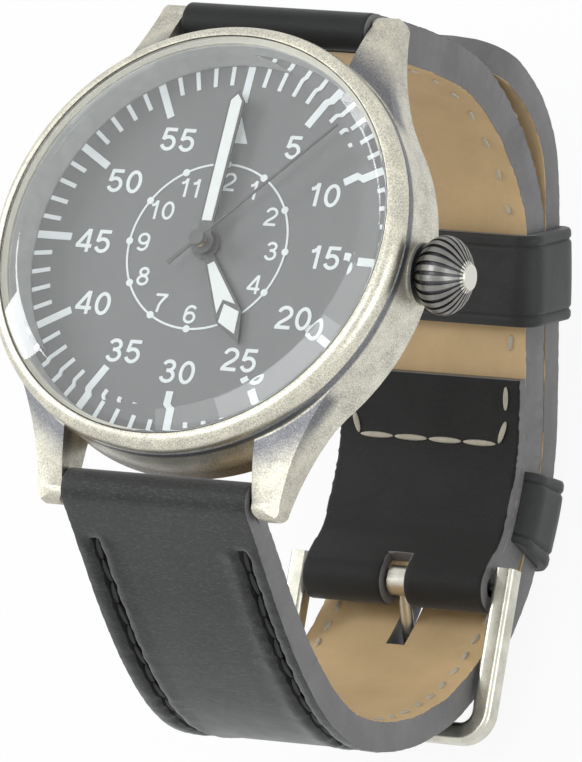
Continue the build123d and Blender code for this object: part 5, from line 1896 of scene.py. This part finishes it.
def digit_shapes() -> dict[str, tuple[float, list[Stroke]]]:
    """Draws each digit, one unit high.

    Returns:
        Each digit's width and the centre lines of its strokes.
    """
    zero = bow(0.29, 0.5, 0.205, 0.425, 0, 360, 32)[:-1]
    bowl = bow(0.29, 0.33, 0.205, 0.255, 0, 360, 30)[:-1]
    hook = [(0.085, 0.36), (0.09, 0.52), *bow(0.31, 0.62, 0.215, 0.305, 165, 38, 14)]

    def turned(points: list[Point2]) -> list[Point2]:
        """The same points turned half way round, which makes a nine of a six."""
        return [(0.58 - x, 1 - y) for x, y in points]

    return {
        "0": (0.58, [(zero, True)]),
        "1": (0.44, [([(0.27, 0.0), (0.27, 1.0)], False),
                     ([(0.05, 0.735), (0.15, 0.765), (0.23, 0.86), (0.26, 0.99)], False)]),
        "2": (0.58, [([*bow(0.29, 0.685, 0.205, 0.24, 172, -22, 16), (0.40, 0.47),
                       (0.16, 0.25), (0.09, 0.10), (0.085, 0.02)], False),
                     ([(0.03, 0.075), (0.54, 0.075)], False)]),
        "3": (0.58, [([*bow(0.28, 0.735, 0.175, 0.195, 165, -75, 16), (0.22, 0.525)], False),
                     ([(0.22, 0.535), *bow(0.28, 0.305, 0.205, 0.235, 80, -168, 20)], False)]),
        "4": (0.58, [([(0.42, 0.0), (0.42, 1.0)], False),
                     ([(0.40, 0.97), (0.07, 0.31), (0.07, 0.22)], False),
                     ([(0.03, 0.265), (0.56, 0.265)], False)]),
        "5": (0.58, [([(0.51, 0.925), (0.14, 0.925)], False),
                     ([(0.155, 0.985), (0.10, 0.47)], False),
                     ([(0.10, 0.50), *bow(0.28, 0.335, 0.205, 0.265, 125, -162, 22)], False)]),
        "6": (0.58, [(bowl, True), (hook, False)]),
        "7": (0.56, [([(0.04, 0.925), (0.54, 0.925)], False),
                     ([(0.50, 0.90), (0.36, 0.68), (0.25, 0.40), (0.21, 0.0)], False)]),
        "8": (0.58, [(bow(0.29, 0.74, 0.165, 0.19, 0, 360, 28)[:-1], True),
                     (bow(0.29, 0.295, 0.20, 0.225, 0, 360, 30)[:-1], True)]),
        "9": (0.58, [(turned(bowl), True), (turned(hook), False)]),
    }


@dataclass
class DialNumbers:
    """Plain minute numbers round the dial and hour numbers round its middle."""

    level: float = 6.2
    thick: float = 0.03
    minute_radius: float = 12.2
    minute_shift: Point2 = (0.25, -0.25)
    minute_height: float = 2.3
    minute_weight: float = 0.35
    hour_radius: float = 6.75
    hour_wide_radius: float = 6.5
    hour_height: float = 1.85
    hour_weight: float = 0.26
    widen: float = 1.33
    gap: float = 0.08
    step_up: float = 0.002
    sharpest: float = 0.5

    def print_number(self, former: Former, text: str, centre: Vector, height: float,
                     weight: float) -> None:
        """Prints a number upright.

        Args:
            former: the mesh.
            text: its digits.
            centre: its middle on the dial.
            height: height of its digits.
            weight: width of its strokes.
        """
        shapes = digit_shapes()
        total = sum(shapes[letter][0] * self.widen for letter in text)
        total += self.gap * (len(text) - 1)
        left = centre.x - total * height / 2
        base = centre.y - height / 2
        for letter in text:
            wide, strokes = shapes[letter]
            for number, (points, closed) in enumerate(strokes):
                line = [Vector((left + x * self.widen * height, base + y * height))
                        for x, y in points]
                self.stroke(former, line, closed, weight / 2, self.step_up * number)
            left += (wide * self.widen + self.gap) * height

    def stroke(self, former: Former, line: list[Vector], closed: bool, half: float,
               lift: float) -> None:
        """Prints one stroke along its centre line.

        Args:
            former: the mesh.
            line: the centre line's points.
            closed: whether it is a ring.
            half: half the stroke's width.
            lift: how much higher than other print it is.
        """
        count = len(line)
        borders: tuple[list[Vector], list[Vector]] = ([], [])
        for i, point in enumerate(line):
            ways = []
            if i or closed:
                ways.append((point - line[i - 1]).normalized())
            if i < count - 1 or closed:
                ways.append((line[(i + 1) % count] - point).normalized())
            heading = (ways[0] + ways[-1]).normalized()
            normal = Vector((-heading.y, heading.x))
            stretch = 1 / max(self.sharpest, Vector((-ways[0].y, ways[0].x)).dot(normal))
            for border, sign in zip(borders, (1, -1)):
                spot = point + normal * (sign * half * stretch)
                border.append(Vector((spot.x, spot.y, self.level)) * MM)
        former.ribbon(*borders, closed, (self.thick + lift) * MM)

    def build(self, white: bpy.types.Material) -> None:
        """Prints all numbers.

        Args:
            white: the print.
        """
        former = Former("dial_numbers")
        for minute in range(5, 60, 5):
            way = spun(Vector((0, 1)), -6.0 * minute)
            centre = way * self.minute_radius + Vector(self.minute_shift)
            self.print_number(former, str(minute), centre,
                              self.minute_height, self.minute_weight)
        for hour in range(1, 13):
            way = spun(Vector((0, 1)), -30.0 * hour)
            radius = self.hour_radius if hour < 10 else self.hour_wide_radius
            self.print_number(former, str(hour), way * radius, self.hour_height,
                              self.hour_weight)
        former.piece(Body.CASE, "dial_print", (white,))


# Metal parts and everything that keeps its CAD shape


@dataclass
class CaseMetal:
    """Case body, case back, crown and buckle, with rounded edges."""

    crown_start: float = 21.47
    crown_length: float = 4.4
    crown_radius: float = 3.7
    crown_height: float = 4.0
    crown_shares: tuple[Point2, ...] = (
        (0.0, 0.66), (0.10, 0.80), (0.26, 0.95), (0.44, 1.0), (0.62, 0.94), (0.78, 0.78),
        (0.90, 0.56), (1.0, 0.33))
    groove_from: float = 0.015
    groove_over: float = 0.05

    def build(self) -> None:
        """Builds the finished copies."""
        finish_node("case_body", Body.CASE, CaseFinish().build(),
                    width=0.35, sharp=28)
        finish_node("case_back", Body.CASE, SHADED_BACK_METAL.build(),
                    width=0.1, sharp=28)
        crown = finish_node("crown", Body.CROWN, CrownFinish().build(),
                            width=0.05, sharp=35, segments=2)
        self.mark_grooves(crown.data)
        buckle = BUCKLE_SILVER.build()
        finish_node("buckle_frame", Body.BUCKLE, buckle, width=0.2, sharp=50)
        finish_node("buckle_tongue", Body.TONGUE, buckle, width=0.12, sharp=40)

    def mark_grooves(self, mesh: bpy.types.Mesh) -> None:
        """Stores on each of the crown's vertices how deep in a groove it lies, which the crown's
        finish paints as shade.

        Args:
            mesh: the crown's mesh.
        """
        depth = mesh.attributes.new("groove", "FLOAT", "POINT")
        for vert in mesh.vertices:
            x, y, z = vert.co / MM
            along = (x - self.crown_start) / self.crown_length
            level = 0.0
            for (a, low), (b, high) in zip(self.crown_shares, self.crown_shares[1:]):
                if a <= along <= b:
                    full = (low + (high - low) * (along - a) / (b - a)) * self.crown_radius
                    short = 1 - math.hypot(y, z - self.crown_height) / full
                    level = min(1.0, max(0.0, (short - self.groove_from) / self.groove_over))
            depth.data[vert.index].value = level


@dataclass
class KeptNodes:
    """CAD nodes that keep their shape and get a finish."""

    steel: tuple[str, ...] = ("stem", "sliding_pinion", "setting_lever", "bridge_screws",
                              "stator", "battery_clamp", "rotor", "crown_tube")
    brass: tuple[str, ...] = ("main_plate", "train_bridge", "step_wheel", "third_wheel",
                              "seconds_wheel", "centre_wheel", "minute_wheel", "hour_wheel")
    rubber: tuple[str, ...] = ("case_back_gasket", "crown_gasket")
    pale: tuple[str, ...] = ("movement_ring", "crystal_gasket")
    dark: tuple[str, ...] = ("hour_hand", "minute_hand", "second_hand")
    lume: tuple[str, ...] = ("hour_lume", "minute_lume")

    def dress(self, nodes: Iterable[str], material: bpy.types.Material) -> None:
        """Puts one material on some nodes.

        Args:
            nodes: their names.
            material: their material.
        """
        for node in nodes:
            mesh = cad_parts[node].data
            mesh.materials.clear()
            mesh.materials.append(material)
            log.info("%s: %s", node, material.name)

    def build(self, white: bpy.types.Material) -> None:
        """Dresses every node that no piece stands for.

        Args:
            white: the dial's white print.
        """
        steel = STEEL.build()
        bars = [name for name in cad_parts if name.startswith(("spring_bar", "buckle_bar"))]
        self.dress((*self.steel, *bars), steel)
        for names, finish in ((self.brass, BRASS), (self.rubber, RUBBER),
                              (self.dark, HAND_LACQUER), (self.lume, LUME_WHITE),
                              (self.pale, IVORY), (("circuit_board",), BOARD_GREEN),
                              (("coil",), COPPER), (("battery",), CELL),
                              (("dial",), DIAL_BLACK), (("rehaut_ring",), REHAUT_SATIN)):
            self.dress(names, finish.build())
        self.dress(("dial_track",), white)


# Studio


@dataclass(frozen=True)
class Lamp:
    """A soft elliptical lamp aimed at the watch.

    Attributes:
        name: its name.
        place: its place, in metres.
        size: its length, in metres.
        power: its power, in watts.
        width: its width where it isn't round.
        heading: direction of its length seen from above, in degrees.
    """

    name: str
    place: tuple[float, float, float]
    size: float
    power: float
    width: float = 0.0
    heading: float = 0.0

    def build(self, aim: Vector, tint: Color) -> None:
        """Builds the lamp.

        Args:
            aim: the point that it lights.
            tint: colour of its light.
        """
        light = bpy.data.lights.new(self.name, "AREA")
        light.shape = "ELLIPSE"
        light.size = self.size
        light.size_y = self.width or self.size
        light.energy = self.power
        light.color = tint
        holder = bpy.data.objects.new(self.name, light)
        away = (Vector(self.place) - aim).normalized()
        heading = math.radians(self.heading)
        along = Vector((math.cos(heading), math.sin(heading), 0))
        along = (along - away * along.dot(away)).normalized()
        turn = Matrix((along, away.cross(along), away)).transposed().to_4x4()
        holder.matrix_world = Matrix.Translation(self.place) @ turn
        bpy.context.scene.collection.objects.link(holder)


@dataclass
class Studio:
    """Camera at the photograph's place, pale floor, soft lamps and even world."""

    right: tuple[float, float, float] = (0.8757, 0.2338, -0.4225)
    up: tuple[float, float, float] = (-0.0697, 0.9270, 0.3686)
    back: tuple[float, float, float] = (0.4778, -0.2933, 0.8281)
    distance: float = 1000.0
    shift_right: float = 7.916
    shift_up: float = -12.578
    focal_pixels: float = 10852.0
    picture_high: float = 762.0
    sensor: float = 36.0
    lamps: tuple[Lamp, ...] = (
        Lamp("key", (-0.76, 0.08, 0.50), 0.34, 3.3),
        Lamp("overhead", (-0.04, -0.14, 0.90), 1.0, 2.2, 0.46, 42.0),
        Lamp("glint", (0.014, -0.18, 0.88), 0.50, 1.0, 0.26, 42.0),
        Lamp("right", (0.90, -0.10, 0.14), 0.45, 1.7))
    world_strength: float = 0.52
    sky: Color = (0.97, 0.985, 1.0)
    tint: Color = (0.95, 0.98, 1.0)
    centre_height: float = 7.5
    floor_size: float = 2.0
    floor_gap: float = 0.0001
    floor_light: Color = (0.86, 0.86, 0.86)
    floor_dark: Color = (0.84, 0.84, 0.84)
    glow_share: float = 0.92

    def camera(self) -> None:
        """Places the camera."""
        right, up, back = Vector(self.right), Vector(self.up), Vector(self.back)
        data = bpy.data.cameras.new("photo_camera")
        data.sensor_fit = "VERTICAL"
        data.sensor_height = self.sensor
        data.lens = self.focal_pixels * self.sensor / self.picture_high
        data.clip_start = 0.01
        data.clip_end = 20.0
        camera = bpy.data.objects.new("photo_camera", data)
        bpy.context.scene.collection.objects.link(camera)
        centre = (Vector((0, 0, self.centre_height)) + right * self.shift_right
                  + up * self.shift_up)
        turn = Matrix((right.normalized(), up.normalized(), back.normalized())).transposed()
        camera.matrix_world = Matrix.Translation(
            (centre + back * self.distance) * MM) @ turn.to_4x4()
        bpy.context.scene.camera = camera

    def pale(self) -> bpy.types.Material:
        """Builds a floor that looks white, glows in glass and metal, and takes a faint shadow.

        Returns:
            Its material.
        """
        graph = Graph("studio_floor")
        mottle = graph.spread(graph.noise(60.0, detail=2.0), *MOST_NOISE)
        matt = graph.node("ShaderNodeBsdfDiffuse")
        graph.feed(matt.inputs["Color"],
                   graph.blend(mottle, self.floor_light, self.floor_dark))
        glow = graph.node("ShaderNodeEmission")
        glow.inputs["Color"].default_value = (1.0, 1.0, 1.0, 1.0)
        glow.inputs["Strength"].default_value = 1.0
        rays = graph.node("ShaderNodeLightPath")
        seen = graph.combine("MAXIMUM", rays.outputs["Is Camera Ray"], graph.combine(
            "MAXIMUM", rays.outputs["Is Transmission Ray"], rays.outputs["Is Glossy Ray"]))
        mix = graph.node("ShaderNodeMixShader")
        graph.feed(mix.inputs[0], graph.combine("MULTIPLY", seen, self.glow_share))
        graph.feed(mix.inputs[1], matt.outputs[0])
        graph.feed(mix.inputs[2], glow.outputs[0])
        graph.feed(graph.output.inputs["Surface"], mix.outputs[0])
        return graph.material

    def build(self) -> None:
        """Builds floor, lamps and world."""
        low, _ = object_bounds()
        bm = bmesh.new()
        bmesh.ops.create_grid(bm, x_segments=2, y_segments=2, size=self.floor_size,
                              matrix=Matrix.Translation((0, 0, low[2] - self.floor_gap)))
        mesh = bpy.data.meshes.new("studio_floor")
        bm.to_mesh(mesh)
        bm.free()
        mesh.materials.append(self.pale())
        floor = bpy.data.objects.new("studio_floor", mesh)
        bpy.context.scene.collection.objects.link(floor)
        floor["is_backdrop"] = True
        for lamp in self.lamps:
            lamp.build(Vector((0, 0, 0)), self.tint)
        world = bpy.data.worlds.new("studio")
        world.use_nodes = True
        tree = world.node_tree
        soft = tree.nodes["Background"]
        soft.inputs["Color"].default_value = (*self.sky, 1.0)
        soft.inputs["Strength"].default_value = self.world_strength
        white = tree.nodes.new("ShaderNodeBackground")
        white.inputs["Color"].default_value = (1.0, 1.0, 1.0, 1.0)
        rays, mix = tree.nodes.new("ShaderNodeLightPath"), tree.nodes.new("ShaderNodeMixShader")
        seen = [tree.nodes.new("ShaderNodeMath") for _ in range(2)]
        for node in seen:
            node.operation = "MAXIMUM"
        tree.links.new(rays.outputs["Is Camera Ray"], seen[0].inputs[0])
        tree.links.new(rays.outputs["Is Glossy Ray"], seen[0].inputs[1])
        tree.links.new(seen[0].outputs[0], seen[1].inputs[0])
        tree.links.new(rays.outputs["Is Transmission Ray"], seen[1].inputs[1])
        tree.links.new(seen[1].outputs[0], mix.inputs[0])
        tree.links.new(soft.outputs[0], mix.inputs[1])
        tree.links.new(white.outputs[0], mix.inputs[2])
        tree.links.new(mix.outputs[0], tree.nodes["World Output"].inputs["Surface"])
        bpy.context.scene.world = world
        bpy.context.scene.view_settings.view_transform = "Standard"


def main() -> None:
    """Builds the whole picture in order."""
    logging.basicConfig(level=logging.INFO)
    studio = Studio()
    studio.camera()
    WatchStrap().build()
    white = PRINT_WHITE.build()
    Crystal().build()
    Bezel().build(BEZEL_SILVER.build())
    DialNumbers().build(white)
    CaseMetal().build()
    KeptNodes().build(white)
    studio.build()


if __name__ == "__main__":
    main()
